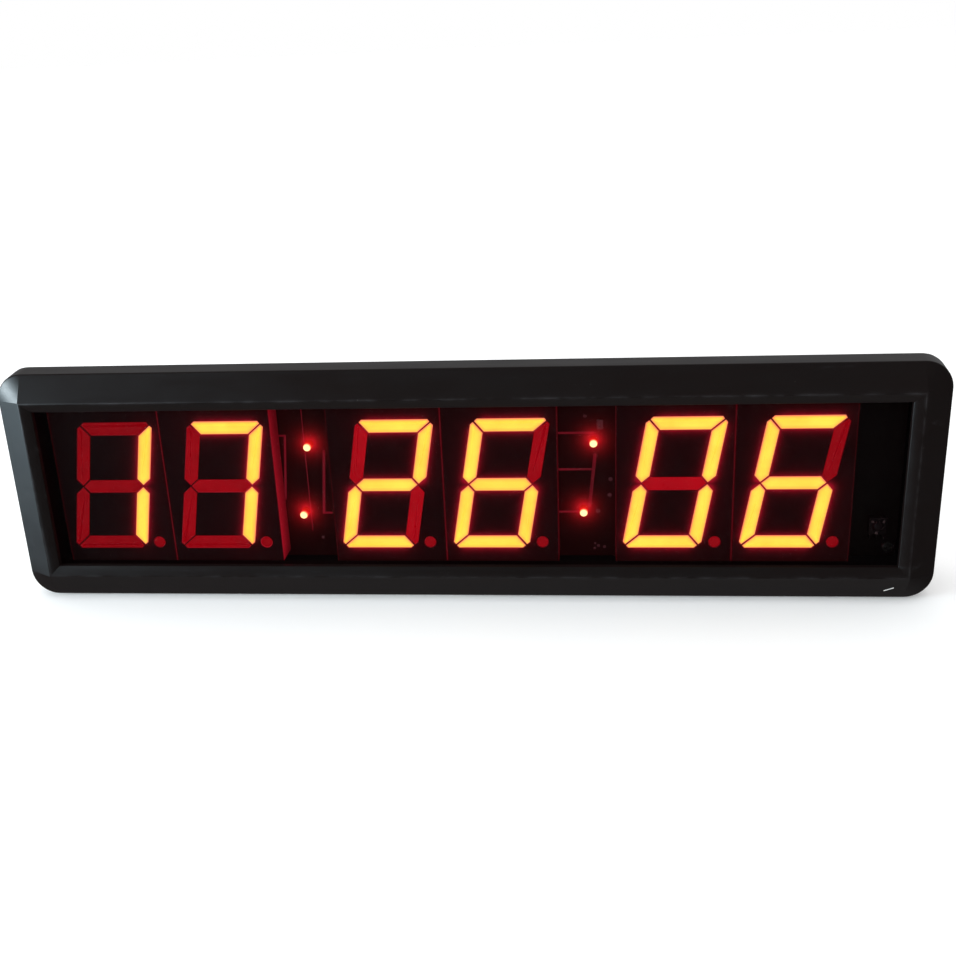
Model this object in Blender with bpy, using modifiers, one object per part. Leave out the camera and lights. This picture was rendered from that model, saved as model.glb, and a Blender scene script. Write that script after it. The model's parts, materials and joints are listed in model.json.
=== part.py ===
# A wall-hung LED interval timer. Units are metres. +X is right as the front is read, +Z is up and
# the front faces -Y. The origin is the middle of the rear face, where the case meets the wall.

import math

import bmesh
import bpy
from mathutils import Matrix, Vector

MM = 0.001
X_AXIS = Vector((1, 0, 0))
Y_AXIS = Vector((0, 1, 0))
Z_AXIS = Vector((0, 0, 1))

# ---- Fits ----
SEAT_GAP = 0.3 * MM  # between two pieces that touch
CELL_GAP = 0.15 * MM  # between a lit segment and the wall of its cell
PIVOT_GAP = 0.11 * MM  # between a pivot pin and its hole, on the radius
SLIDE_GAP = 0.3 * MM  # between a key cap and its hole, on the radius
EDGE_BREAK = 0.5 * MM  # chamfers on small moulded edges

# ---- Digit modules ----
DIGIT_COUNT = 6
DIGIT_PITCH = 48 * MM
DIGIT_HEIGHT = 70 * MM
DIGIT_DEPTH = 12 * MM
DIGIT_WALL = 1.2 * MM
COLON_GAP = 23.65 * MM  # free width between two pairs of digits
CHARACTER_WIDTH = 32.5 * MM
CHARACTER_HEIGHT = 57.8 * MM
STROKE = 5.6 * MM
CORNER_CUT = 2.4 * MM  # chamfer on the character's outer corners
MITRE_GAP = 0.5 * MM
SLANT = math.radians(9.9)
POINT_RADIUS = 2.5 * MM
POINT_X = 17 * MM
POINT_DROP = 26.2 * MM
POTTING_DEPTH = 2.4 * MM

# ---- Window and front frame ----
LEFT_MARGIN = 4.05 * MM  # from the window's edge to the first digit
RECEIVER_BAY = 19.05 * MM  # from the last digit to the window's edge
WINDOW_MARGIN = 0.35 * MM  # above and below the digits
INNER_BEVEL_RUN = 4.15 * MM
INNER_BEVEL_DROP = 2.2 * MM
SLOPE_RUN = 11.4 * MM
SLOPE_DROP = 6 * MM
RIM_DRAFT = 0.5 * MM
RIM_DEPTH = 16.2 * MM  # from the ridge to the back edge of the rim
LIP_DEPTH = 4.4 * MM  # from the ridge to the seat of the window
LIP_SHELF = 2.9 * MM  # flat back of the lip, outside the ridge
FRAME_EDGE = 0.4 * MM  # flats along the ridge and the outer edge
CASE_DEPTH = 42 * MM  # from the ridge to the wall
WALL = 2.2 * MM
LENS_THICKNESS = 2 * MM
LENS_OVERLAP = 5.35 * MM
LENS_TO_DIGIT = 0.5 * MM
CORNER_STEPS = 8

# ---- Rear tray ----
TRAY_INSET = 8.9 * MM  # from the outside of the rim to the outside of the tray
TRAY_CORNER = 4 * MM
TRAY_BACK_EDGE = 1.5 * MM
FLANGE_RECESS = 3 * MM  # from the back edge of the rim to the flange

# ---- Fasteners ----
SCREW_HEAD_RADIUS = 2.5 * MM
SCREW_HEAD_HEIGHT = 1.8 * MM
SCREW_RECESS = (1.5 * MM, 0.3 * MM, 1 * MM)  # half length and half width of an arm, and depth
SCREW_RADIUS = 1.3 * MM
SCREW_LENGTH = 7.5 * MM
BOSS_RADIUS = 2.5 * MM
CASE_SCREW_OFFSET = 6 * MM  # from the ridge, outwards
CASE_SCREW_END = 18 * MM  # from the ridge's end to the last screw
POST_RADIUS = 3 * MM
BOARD_SCREW_MARGIN = 3.8 * MM  # from the board's end to its screws
BOARD_SCREW_DROP = 4.6 * MM  # from the board's long edge to its screws

# ---- Boards ----
BOARD_THICKNESS = 1.6 * MM
BOARD_EDGE_GAP = 2.2 * MM
BOARD_CORNER = 1.5 * MM

# ---- Colons and remote receiver ----
COLON_LED_RADIUS = 1.5 * MM
COLON_LED_FLANGE = 1.9 * MM
COLON_LED_FLANGE_HEIGHT = 1 * MM
COLON_LED_HEIGHT = 5.9 * MM
COLON_SPREAD = 31.1 * MM  # between the heights of a colon's two LEDs
COLON_LEAN = 4.3 * MM  # of the upper LED to the right of the lower one
COLON_SHIFTS = ((-1 * MM, -1.1 * MM), (0.7 * MM, -0.4 * MM))  # from the middle of each gap
RECEIVER_WIDTH = 7 * MM
RECEIVER_HEIGHT = 7.4 * MM
RECEIVER_DEPTH = 3.6 * MM
RECEIVER_DOME = 2.6 * MM
RECEIVER_CORNER = 0.8 * MM
RECEIVER_STANDOFF = 2.2 * MM  # from the board to the receiver's back
RECEIVER_PIN_PITCH = 2.54 * MM
RECEIVER_PIN = 0.25 * MM  # half its width
RECEIVER_PIN_DROP = 2.5 * MM
RECEIVER_FROM_EDGE = 6.7 * MM  # from the window's right edge
RECEIVER_DROP = 22 * MM

# ---- Wall fixing ----
KEYHOLE_SPACING = 260 * MM
KEYHOLE_Z = 10 * MM
KEYHOLE_HEAD = 5 * MM  # radius that takes the screw's head
KEYHOLE_SLOT = 2.4 * MM  # half the width that takes its shank
KEYHOLE_RISE = 10 * MM

# ---- Controls in the bottom wall ----
CONTROL_DEPTH = 11.5 * MM  # from the wall to the line of the controls
JACK_X = 112 * MM
JACK_FLANGE = 7 * MM
JACK_FLANGE_HEIGHT = 2 * MM
JACK_BARREL = 5.4 * MM
JACK_LENGTH = 13 * MM
JACK_TAIL = 3 * MM  # plain end behind the thread
INLET_TAB = 4 * MM  # solder tabs beyond the barrel
INLET_TAB_X = 2.4 * MM
INLET_TAB_SIZE = (0.6 * MM, 2.4 * MM)
SOCKET_RADIUS = 3.15 * MM
SOCKET_DEPTH = 9.5 * MM
SOCKET_PIN_RADIUS = 1 * MM
SOCKET_PIN_RECESS = 1 * MM
NUT_FLATS = 14 * MM
NUT_HEIGHT = 2 * MM
SWITCH_X = 148 * MM
SWITCH_BEZEL = (21.4 * MM, 15.2 * MM)
SWITCH_BEZEL_HEIGHT = 1.6 * MM
SWITCH_BEZEL_CORNER = 1 * MM
SWITCH_BODY = (18.6 * MM, 12.6 * MM)
SWITCH_BODY_HEIGHT = 13 * MM
SWITCH_BLADE = 6 * MM  # terminals beyond the body
SWITCH_BLADE_X = 5 * MM
SWITCH_BLADE_SIZE = (0.8 * MM, 4.8 * MM)
ROCKER_RADIUS = 7.8 * MM
ROCKER_WIDTH = 9 * MM
ROCKER_WELL = 4.7 * MM  # from the pivot to the floor of the well
ROCKER_HEEL = math.radians(14)  # from the pivot's level to the corner of the rocker's back
ROCKER_CROWN = 3 * MM  # from the pivot to the bottom of the rocker's vee
ROCKER_TILT = math.radians(9)
ROCKER_PIN_RADIUS = 1 * MM
ROCKER_PIN_LENGTH = 0.9 * MM
KEY_COUNT = 3
KEY_PITCH = 15 * MM
KEY_X = -105 * MM
KEY_RADIUS = 3 * MM
KEY_PROUD = 1.3 * MM
KEY_TRAVEL = 0.8 * MM
KEY_COLLAR = 4.2 * MM
KEY_COLLAR_HEIGHT = 0.8 * MM
KEY_STEM = 1.7 * MM
KEY_STEM_LENGTH = 2.1 * MM
KEY_SWITCH_SIZE = 6 * MM
KEY_SWITCH_HEIGHT = 3.5 * MM
KEY_BOARD_LENGTH = 56 * MM
KEY_BOARD_WIDTH = 13 * MM
KEY_BOARD_CORNER = 1 * MM
KEY_PEG_RADIUS = 2.3 * MM
KEY_SPIGOT_RADIUS = 1.2 * MM
KEY_SPIGOT_PROUD = 1 * MM
KEY_PEG_MARGIN = 3 * MM

# ---- Pieces on the back of the main board ----
BUZZER_AT = (-40 * MM, -14 * MM)
BUZZER_RADIUS = 11 * MM
BUZZER_HEIGHT = 10.5 * MM
BUZZER_PORT = 1.6 * MM  # radius and depth of the sound hole
SOUND_SLOTS = 5
SOUND_SLOT_LENGTH = 16 * MM
SOUND_SLOT_WIDTH = 2 * MM
SOUND_SLOT_PITCH = 3.8 * MM
CELL_AT = (14 * MM, -14 * MM)
CELL_RADIUS = 10 * MM
CELL_HEIGHT = 3.2 * MM
HOLDER_SIZE = 24 * MM
HOLDER_HEIGHT = 4.6 * MM
HOLDER_FLOOR = 1.2 * MM
HOLDER_CORNER = 2 * MM
FINGER_NOTCH = 4 * MM  # half its width
CAPACITOR_AT = (78 * MM, -16 * MM)
CAPACITOR_RADIUS = 5 * MM
CAPACITOR_HEIGHT = 12.5 * MM
CAPACITOR_GROOVE = 1.7 * MM  # height of the crimp round its foot
INDUCTOR_AT = (78 * MM, 8 * MM)
INDUCTOR_SIZE = 12 * MM
INDUCTOR_HEIGHT = 6 * MM
INDUCTOR_CORNER = 2.5 * MM
REGULATOR_AT = (97 * MM, 8 * MM)
REGULATOR_SIZE = (6.6 * MM, 6 * MM)
REGULATOR_TAB = (5.4 * MM, 2 * MM)  # width and reach
REGULATOR_LEG = (0.8 * MM, 2.5 * MM)
REGULATOR_LEG_X = 2.3 * MM
CRYSTAL_AT = (24 * MM, 17 * MM)
CRYSTAL_SIZE = (11 * MM, 4.6 * MM)
CRYSTAL_HEIGHT = 3.5 * MM
CONTROLLER_AT = (0, 17 * MM)
DRIVERS_AT = ((-148 * MM, 0), (-86 * MM, 14 * MM), (46 * MM, 14 * MM))
LEAD_FRAME_LIFT = 0.1 * MM  # of a chip's body above its legs' feet
CHIP_WIDTH = 7.5 * MM
CHIP_HEIGHT = 2.3 * MM
CHIP_PITCH = 1.27 * MM
CHIP_LEG = (0.45 * MM, 1.4 * MM, 0.6 * MM)  # width, reach and thickness
CHIP_END = 0.6 * MM  # body beyond the last leg's pitch
HEADER_AT = (128 * MM, -2 * MM)
HEADER_SIZE = (8 * MM, 6 * MM, 7 * MM)
HEADER_NOTCH = 1 * MM
LEAD_RADIUS = 0.8 * MM
LEAD_RISE = 4 * MM  # of a lead straight off its terminal

# ---- Planes worked out from the sizes above ----
DIGIT_ROW = DIGIT_COUNT * DIGIT_PITCH + 2 * COLON_GAP
WINDOW_WIDTH = DIGIT_ROW + LEFT_MARGIN + RECEIVER_BAY
WINDOW_HEIGHT = DIGIT_HEIGHT + 2 * WINDOW_MARGIN
DIGIT_ROW_X = (LEFT_MARGIN - RECEIVER_BAY) / 2  # middle of the row of digits
RIDGE_X = WINDOW_WIDTH / 2 + INNER_BEVEL_RUN
RIDGE_Z = WINDOW_HEIGHT / 2 + INNER_BEVEL_RUN
RIM_OFFSET = SLOPE_RUN + RIM_DRAFT
TRAY_OFFSET = RIM_OFFSET - TRAY_INSET
RIDGE_Y = -CASE_DEPTH
LENS_Y = RIDGE_Y + LIP_DEPTH + SEAT_GAP
FACE_Y = LENS_Y + LENS_THICKNESS + LENS_TO_DIGIT
BOARD_Y = FACE_Y + DIGIT_DEPTH + SEAT_GAP
BOARD_BACK_Y = BOARD_Y + BOARD_THICKNESS
RIM_BACK_Y = RIDGE_Y + RIM_DEPTH
FLANGE_BACK_Y = RIM_BACK_Y - FLANGE_RECESS
FLANGE_Y = FLANGE_BACK_Y - WALL
FLOOR_Y = -WALL
TRAY_X = RIDGE_X + TRAY_OFFSET
TRAY_Z = RIDGE_Z + TRAY_OFFSET
BOARD_X = TRAY_X - WALL - BOARD_EDGE_GAP
BOARD_Z = TRAY_Z - WALL - BOARD_EDGE_GAP
BOTTOM_Z = -TRAY_Z  # outside of the tray's bottom wall
INSIDE_Z = BOTTOM_Z + WALL
CONTROL_Y = -CONTROL_DEPTH
PIVOT_Z = BOTTOM_Z - SWITCH_BEZEL_HEIGHT + ROCKER_CROWN
KEY_COLLAR_Z = INSIDE_Z + SEAT_GAP
KEY_SWITCH_Z = KEY_COLLAR_Z + KEY_COLLAR_HEIGHT + KEY_TRAVEL + 2 * SEAT_GAP
KEY_BOARD_Z = KEY_SWITCH_Z + KEY_SWITCH_HEIGHT + SEAT_GAP

CASE_BLACK = ((0.022, 0.022, 0.024), 0.42, 0)
CASE_BACK = ((0.026, 0.026, 0.027), 0.55, 0)
SMOKED_RED = ((0.06, 0.004, 0.004), 0.06, 0)
DIGIT_SHELL = ((0.012, 0.011, 0.012), 0.5, 0)
RED_RESIN = ((0.42, 0.012, 0.018), 0.35, 0)
LED_RED = ((0.8, 0.03, 0.02), 0.2, 0)
BOARD_GREEN = ((0.02, 0.09, 0.035), 0.4, 0)
CHIP_BLACK = ((0.02, 0.02, 0.02), 0.5, 0)
BRIGHT_METAL = ((0.62, 0.62, 0.6), 0.28, 1)
SCREW_ZINC = ((0.5, 0.5, 0.5), 0.35, 1)
BLACK_NYLON = ((0.02, 0.02, 0.021), 0.35, 0)
WHITE_PLASTIC = ((0.75, 0.74, 0.68), 0.5, 0)
SLEEVE_BLUE = ((0.02, 0.04, 0.16), 0.4, 0)
LEAD_RED = ((0.45, 0.02, 0.02), 0.5, 0)


# ---- Scene, objects and materials ----


def clear_scene():
    for old in list(bpy.data.objects):
        bpy.data.objects.remove(old, do_unlink=True)


def new_collection(name):
    made = bpy.data.collections.new(name)
    bpy.context.scene.collection.children.link(made)
    return made


def new_object(name, bm, collection):
    bmesh.ops.recalc_face_normals(bm, faces=bm.faces)
    mesh = bpy.data.meshes.new(name)
    bm.to_mesh(mesh)
    bm.free()
    made = bpy.data.objects.new(name, mesh)
    collection.objects.link(made)
    return made


def add_finish(piece, finish):
    colour, roughness, metallic = finish
    material = bpy.data.materials.new(piece.name)
    material.use_nodes = True
    shader = material.node_tree.nodes["Principled BSDF"]
    shader.inputs["Base Color"].default_value = (*colour, 1)
    shader.inputs["Roughness"].default_value = roughness
    shader.inputs["Metallic"].default_value = metallic
    piece.data.materials.clear()
    piece.data.materials.append(material)


def add_part(name, bm, finish):
    piece = new_object(name, bm, parts)
    add_finish(piece, finish)
    return piece


def add_boolean(piece, name, bm, operation):
    tool = new_object(f"{piece.name}_{name}", bm, cutters)
    tool.hide_render = True
    tool.display_type = "WIRE"
    modifier = piece.modifiers.new(name, "BOOLEAN")
    modifier.operation = operation
    modifier.solver = "EXACT"
    modifier.object = tool


def smooth(piece, angle=35):
    piece.data.shade_smooth()
    piece.data.set_sharp_from_angle(angle=math.radians(angle))


def final_mesh(piece):
    depsgraph = bpy.context.evaluated_depsgraph_get()
    return bpy.data.meshes.new_from_object(piece.evaluated_get(depsgraph))


def add_copies(template, names, matrices):
    """Puts copies of a finished template where the matrices say, and removes the template."""
    mesh = final_mesh(template)
    finish_mesh = template.data.materials[0]
    bpy.data.objects.remove(template, do_unlink=True)
    for name, matrix in zip(names, matrices):
        copy = bpy.data.objects.new(name, mesh.copy())
        copy.data.materials.clear()
        copy.data.materials.append(finish_mesh.copy())
        copy.data.materials[0].name = name
        copy.matrix_world = matrix
        parts.objects.link(copy)


# ---- Basic solids, each added to a bmesh ----


def add_box(bm, low, high):
    low = Vector(low)
    high = Vector(high)
    matrix = Matrix.Translation((low + high) / 2) @ Matrix.Diagonal((*(high - low), 1))
    return bmesh.ops.create_cube(bm, size=1, matrix=matrix)["verts"]


def bevel_edges(bm, chosen, radius, segments):
    bmesh.ops.bevel(
        bm, geom=chosen, offset=radius, segments=segments, profile=0.5, affect="EDGES"
    )


def edges_along(verts, axis):
    edges = {edge for vert in verts for edge in vert.link_edges}
    chosen = []
    for edge in edges:
        direction = (edge.verts[0].co - edge.verts[1].co).normalized()
        if abs(direction.dot(axis)) > 0.99:
            chosen.append(edge)
    return sorted(chosen, key=lambda edge: edge.index)


def add_rounded_box(bm, low, high, radius, axis=Y_AXIS, segments=4):
    verts = add_box(bm, low, high)
    bm.edges.index_update()
    bevel_edges(bm, edges_along(verts, axis), radius, segments)


def add_cylinder(bm, start, axis, length, radius, sides=16):
    rotation = axis.to_track_quat("Z", "Y").to_matrix().to_4x4()
    centre = Vector(start) + axis * (length / 2)
    bmesh.ops.create_cone(
        bm,
        cap_ends=True,
        segments=sides,
        radius1=radius,
        radius2=radius,
        depth=length,
        matrix=Matrix.Translation(centre) @ rotation,
    )


# Where a flat outline's own X, Y and thickness point, for each axis that it is extruded along.
OUTLINE_FRAMES = {
    "X": (Y_AXIS, Z_AXIS, X_AXIS),
    "Y": (X_AXIS, Z_AXIS, Y_AXIS),
    "Z": (X_AXIS, Y_AXIS, Z_AXIS),
}


def add_outline(bm, outlines, along, start, end):
    """Extrudes flat outlines, where an outline inside another is a hole."""
    curve = bpy.data.curves.new("outline", "CURVE")
    curve.dimensions = "2D"
    curve.fill_mode = "BOTH"
    curve.extrude = abs(end - start) / 2
    for outline in outlines:
        spline = curve.splines.new("POLY")
        spline.points.add(len(outline) - 1)
        spline.use_cyclic_u = True
        for point, (u, v) in zip(spline.points, outline):
            point.co = (u, v, 0, 1)
    holder = bpy.data.objects.new("outline", curve)
    parts.objects.link(holder)
    mesh = final_mesh(holder)
    bpy.data.objects.remove(holder, do_unlink=True)
    solid = bmesh.new()
    solid.from_mesh(mesh)
    bmesh.ops.remove_doubles(solid, verts=solid.verts, dist=1e-6)
    frame = Matrix(OUTLINE_FRAMES[along]).transposed().to_4x4()
    middle = OUTLINE_FRAMES[along][2] * ((start + end) / 2)
    bmesh.ops.transform(solid, matrix=Matrix.Translation(middle) @ frame, verts=solid.verts)
    solid.to_mesh(mesh)
    solid.free()
    bm.from_mesh(mesh)
    bpy.data.meshes.remove(mesh)


def arc(centre, radius, start, end, steps):
    """Points on an arc, with angles in radians."""
    points = []
    for step in range(steps + 1):
        angle = start + (end - start) * step / steps
        points.append((centre[0] + radius * math.cos(angle), centre[1] + radius * math.sin(angle)))
    return points


def circle(centre, radius, sides):
    return arc(centre, radius, 0, 2 * math.pi, sides)[:-1]


def add_turned(name, profile, finish, sides=24):
    """A profile of (radius, height) from the top of the axis down its outer side, turned about +Z."""
    bm = bmesh.new()
    verts = [bm.verts.new((radius, 0, height)) for radius, height in profile]
    for upper, lower in zip(verts, verts[1:]):
        bm.edges.new((upper, lower))
    piece = new_object(name, bm, parts)
    screw = piece.modifiers.new("turn", "SCREW")
    screw.axis = "Z"
    screw.angle = 2 * math.pi
    screw.steps = sides
    screw.render_steps = sides
    screw.use_merge_vertices = True
    screw.merge_threshold = 1e-6
    add_finish(piece, finish)
    return piece


def facing(direction, origin):
    """Turns +Z to a direction and moves the origin."""
    rotation = direction.to_track_quat("Z", "Y").to_matrix().to_4x4()
    return Matrix.Translation(origin) @ rotation


# ---- Front frame, window and rear tray ----


def ring_points(offset):
    """Round the ridge at an offset: concentric corners outside it, mitred ones inside it."""
    radius = max(offset, 0)
    corners = ((1, 1, 0), (-1, 1, 1), (-1, -1, 2), (1, -1, 3))
    half_x = RIDGE_X + offset - radius
    half_z = RIDGE_Z + offset - radius
    points = []
    for side_x, side_z, quarter in corners:
        start = quarter * math.pi / 2
        points += arc(
            (side_x * half_x, side_z * half_z), radius, start, start + math.pi / 2, CORNER_STEPS
        )
    return points


def slope_y(offset):
    """Depth of the sloping face at an offset from the ridge."""
    return RIDGE_Y + SLOPE_DROP * offset / SLOPE_RUN


def frame_section():
    """The moulding's cut profile, as offsets from the ridge and depths."""
    slope_end = SLOPE_RUN - FRAME_EDGE
    inside = RIM_OFFSET - WALL
    lip_y = RIDGE_Y + LIP_DEPTH
    return [
        (0, RIDGE_Y),
        (slope_end, slope_y(slope_end)),
        (SLOPE_RUN + RIM_DRAFT / 5, RIDGE_Y + SLOPE_DROP + FRAME_EDGE / 2),
        (RIM_OFFSET, RIM_BACK_Y),
        (inside, RIM_BACK_Y),
        (inside, lip_y + slope_y(inside) - slope_y(LIP_SHELF)),
        (LIP_SHELF, lip_y),
        (-INNER_BEVEL_RUN, lip_y),
        (-INNER_BEVEL_RUN, RIDGE_Y + INNER_BEVEL_DROP),
        (-FRAME_EDGE, RIDGE_Y + FRAME_EDGE / 4),
    ]


def case_screw_places():
    x = RIDGE_X - CASE_SCREW_END
    z = RIDGE_Z + CASE_SCREW_OFFSET
    return [(side_x * x, side_z * z) for side_z in (1, -1) for side_x in (-1, 0, 1)]


def build_front_frame():
    bm = bmesh.new()
    rings = []
    for offset, depth in frame_section():
        rings.append([bm.verts.new((x, depth, z)) for x, z in ring_points(offset)])
    for ring, following in zip(rings, rings[1:] + rings[:1]):
        for index, vert in enumerate(ring):
            beyond = (index + 1) % len(ring)
            bm.faces.new((vert, ring[beyond], following[beyond], following[index]))
    bmesh.ops.remove_doubles(bm, verts=bm.verts, dist=1e-6)
    frame = add_part("front_frame", bm, CASE_BLACK)

    bosses = bmesh.new()
    bores = bmesh.new()
    boss_top = FLANGE_Y - SEAT_GAP
    boss_base = RIDGE_Y + LIP_DEPTH + SEAT_GAP  # just inside the underside of the slope
    for x, z in case_screw_places():
        add_cylinder(bosses, (x, boss_base, z), Y_AXIS, boss_top - boss_base, BOSS_RADIUS)
        bore_end = FLANGE_BACK_Y + SEAT_GAP - SCREW_LENGTH - 2 * SEAT_GAP
        bore_length = boss_top + SEAT_GAP - bore_end
        add_cylinder(bores, (x, bore_end, z), Y_AXIS, bore_length, SCREW_RADIUS + SEAT_GAP / 2, 12)
    add_boolean(frame, "bosses", bosses, "UNION")
    add_boolean(frame, "bores", bores, "DIFFERENCE")
    smooth(frame)


def build_window_lens():
    half_x = WINDOW_WIDTH / 2 + LENS_OVERLAP
    half_z = WINDOW_HEIGHT / 2 + LENS_OVERLAP
    bm = bmesh.new()
    add_rounded_box(
        bm,
        (-half_x, LENS_Y, -half_z),
        (half_x, LENS_Y + LENS_THICKNESS, half_z),
        LENS_OVERLAP - INNER_BEVEL_RUN,
    )
    add_part("window_lens", bm, SMOKED_RED)


def board_screw_places():
    x = BOARD_X - BOARD_SCREW_MARGIN
    z = BOARD_Z - BOARD_SCREW_DROP
    return [(side_x * x, side_z * z) for side_z in (1, -1) for side_x in (-1, 1)]


def keyhole_outline(x):
    """A round entry with a narrower slot rising from it."""
    spread = math.asin(KEYHOLE_SLOT / KEYHOLE_HEAD)
    top = math.pi / 2
    entry = arc((x, KEYHOLE_Z), KEYHOLE_HEAD, top + spread, top + 2 * math.pi - spread, 14)
    slot = arc((x, KEYHOLE_Z + KEYHOLE_RISE), KEYHOLE_SLOT, 0, math.pi, 6)
    return entry + slot


def key_places():
    first = KEY_X - KEY_PITCH * (KEY_COUNT - 1) / 2
    return [first + index * KEY_PITCH for index in range(KEY_COUNT)]


def key_peg_places():
    reach = KEY_BOARD_LENGTH / 2 - KEY_PEG_MARGIN
    return [KEY_X - reach, KEY_X + reach]


def add_tray_shell(bm):
    low = (-TRAY_X, FLANGE_Y, -TRAY_Z)
    add_rounded_box(bm, low, (TRAY_X, 0, TRAY_Z), TRAY_CORNER)
    back_edges = [
        edge for edge in bm.edges if all(abs(vert.co.y) < 1e-7 for vert in edge.verts)
    ]
    bevel_edges(bm, back_edges, TRAY_BACK_EDGE, 2)


def add_tray_posts(bm):
    for x, z in board_screw_places():
        add_cylinder(
            bm,
            (x, BOARD_BACK_Y + SEAT_GAP, z),
            Y_AXIS,
            FLOOR_Y + WALL / 2 - BOARD_BACK_Y - SEAT_GAP,
            POST_RADIUS,
            12,
        )


def add_key_pegs(bm):
    """Stepped pegs that the key board drops onto, turned about +Z."""
    base = INSIDE_Z - WALL / 2
    shoulder = KEY_BOARD_Z - SEAT_GAP
    tip = KEY_BOARD_Z + BOARD_THICKNESS + KEY_SPIGOT_PROUD
    for x in key_peg_places():
        add_cylinder(bm, (x, CONTROL_Y, base), Z_AXIS, shoulder - base, KEY_PEG_RADIUS, 12)
        bottom = bm.faces[:]
        top = max(bottom, key=lambda face: face.calc_center_median().z)
        inset = KEY_PEG_RADIUS - KEY_SPIGOT_RADIUS
        bmesh.ops.inset_region(bm, faces=[top], thickness=inset, use_even_offset=True)
        raised = bmesh.ops.extrude_face_region(bm, geom=[top])["geom"]
        verts = [item for item in raised if isinstance(item, bmesh.types.BMVert)]
        bmesh.ops.translate(bm, verts=verts, vec=Z_AXIS * (tip - shoulder))
        bmesh.ops.delete(bm, geom=[top], context="FACES")


def add_bottom_cuts(bm):
    """Holes for the jack, the switch and the keys."""
    start = BOTTOM_Z - WALL
    length = 3 * WALL
    add_cylinder(bm, (JACK_X, CONTROL_Y, start), Z_AXIS, length, JACK_BARREL + SEAT_GAP, 24)
    for x in key_places():
        add_cylinder(bm, (x, CONTROL_Y, start), Z_AXIS, length, KEY_RADIUS + SLIDE_GAP, 16)
    half_x = SWITCH_BODY[0] / 2 + SEAT_GAP
    half_y = SWITCH_BODY[1] / 2 + SEAT_GAP
    add_box(
        bm,
        (SWITCH_X - half_x, CONTROL_Y - half_y, start),
        (SWITCH_X + half_x, CONTROL_Y + half_y, start + length),
    )


def add_back_cuts(bm):
    """Keyholes, sound slots, and holes for the case and board screws."""
    for side in (-1, 1):
        outline = keyhole_outline(side * KEYHOLE_SPACING / 2)
        add_outline(bm, [outline], "Y", FLOOR_Y - WALL, WALL)
    for index in range(SOUND_SLOTS):
        z = BUZZER_AT[1] + (index - (SOUND_SLOTS - 1) / 2) * SOUND_SLOT_PITCH
        half_x = SOUND_SLOT_LENGTH / 2
        half_z = SOUND_SLOT_WIDTH / 2
        low = (BUZZER_AT[0] - half_x, FLOOR_Y - WALL, z - half_z)
        high = (BUZZER_AT[0] + half_x, WALL, z + half_z)
        add_rounded_box(bm, low, high, half_z * 0.9, segments=2)
    for x, z in case_screw_places():
        start = (x, FLANGE_Y - WALL, z)
        add_cylinder(bm, start, Y_AXIS, 3 * WALL, SCREW_RADIUS + SEAT_GAP, 12)
    for x, z in board_screw_places():
        start = (x, BOARD_BACK_Y - WALL, z)
        depth = WALL + SCREW_LENGTH
        add_cylinder(bm, start, Y_AXIS, depth, SCREW_RADIUS + SEAT_GAP / 2, 12)


def build_rear_tray():
    shell = bmesh.new()
    add_tray_shell(shell)
    tray = add_part("rear_tray", shell, CASE_BACK)

    flange_x = RIDGE_X + RIM_OFFSET - WALL - SEAT_GAP
    flange_z = RIDGE_Z + RIM_OFFSET - WALL - SEAT_GAP
    flange = bmesh.new()
    add_rounded_box(
        flange,
        (-flange_x, FLANGE_Y, -flange_z),
        (flange_x, FLANGE_BACK_Y, flange_z),
        RIM_OFFSET - WALL - SEAT_GAP,
        segments=CORNER_STEPS,
    )
    add_boolean(tray, "flange", flange, "UNION")

    pocket = bmesh.new()
    inner_x = TRAY_X - WALL
    inner_z = TRAY_Z - WALL
    add_rounded_box(
        pocket,
        (-inner_x, FLANGE_Y - WALL, -inner_z),
        (inner_x, FLOOR_Y, inner_z),
        TRAY_CORNER - WALL,
    )
    add_boolean(tray, "pocket", pocket, "DIFFERENCE")

    posts = bmesh.new()
    add_tray_posts(posts)
    add_boolean(tray, "posts", posts, "UNION")
    pegs = bmesh.new()
    add_key_pegs(pegs)
    add_boolean(tray, "key_pegs", pegs, "UNION")

    cuts = bmesh.new()
    add_bottom_cuts(cuts)
    add_back_cuts(cuts)
    add_boolean(tray, "cuts", cuts, "DIFFERENCE")
    smooth(tray)


# ---- Display ----


def segment_outlines(grow):
    """The seven strokes of a character, upright and about its middle, grown by a margin."""
    w = CHARACTER_WIDTH / 2 + grow
    h = CHARACTER_HEIGHT / 2 + grow
    t = STROKE + 2 * grow
    inner_w = w - t
    gap = MITRE_GAP - grow
    cut = CORNER_CUT
    half = t / 2
    top = [
        (-w + cut / 2 + gap, h - cut / 2),
        (-w + cut + gap / 2, h),
        (w - cut - gap / 2, h),
        (w - cut / 2 - gap, h - cut / 2),
        (inner_w - gap, h - t),
        (-inner_w + gap, h - t),
    ]
    upper_left = [
        (-w + cut / 2, h - cut / 2 - gap),
        (-w, h - cut - gap / 2),
        (-w, half + gap),
        (-w + half, gap),
        (-inner_w, half + gap),
        (-inner_w, h - t - gap),
    ]
    middle = [
        (-w + half + gap, 0),
        (-inner_w + gap, half),
        (inner_w - gap, half),
        (w - half - gap, 0),
        (inner_w - gap, -half),
        (-inner_w + gap, -half),
    ]
    upper_right = [(-x, z) for x, z in upper_left]
    lower_left = [(x, -z) for x, z in upper_left]
    lower_right = [(-x, -z) for x, z in upper_left]
    bottom = [(x, -z) for x, z in top]
    return [top, upper_left, upper_right, middle, lower_left, lower_right, bottom]


def slanted(outline):
    return [(x + z * math.tan(SLANT), z) for x, z in outline]


def add_segments(bm, grow, start, end):
    for outline in segment_outlines(grow):
        add_outline(bm, [slanted(outline)], "Y", start, end)
    add_cylinder(
        bm, (POINT_X, start, -POINT_DROP), Y_AXIS, end - start, POINT_RADIUS + grow, 20
    )


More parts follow.
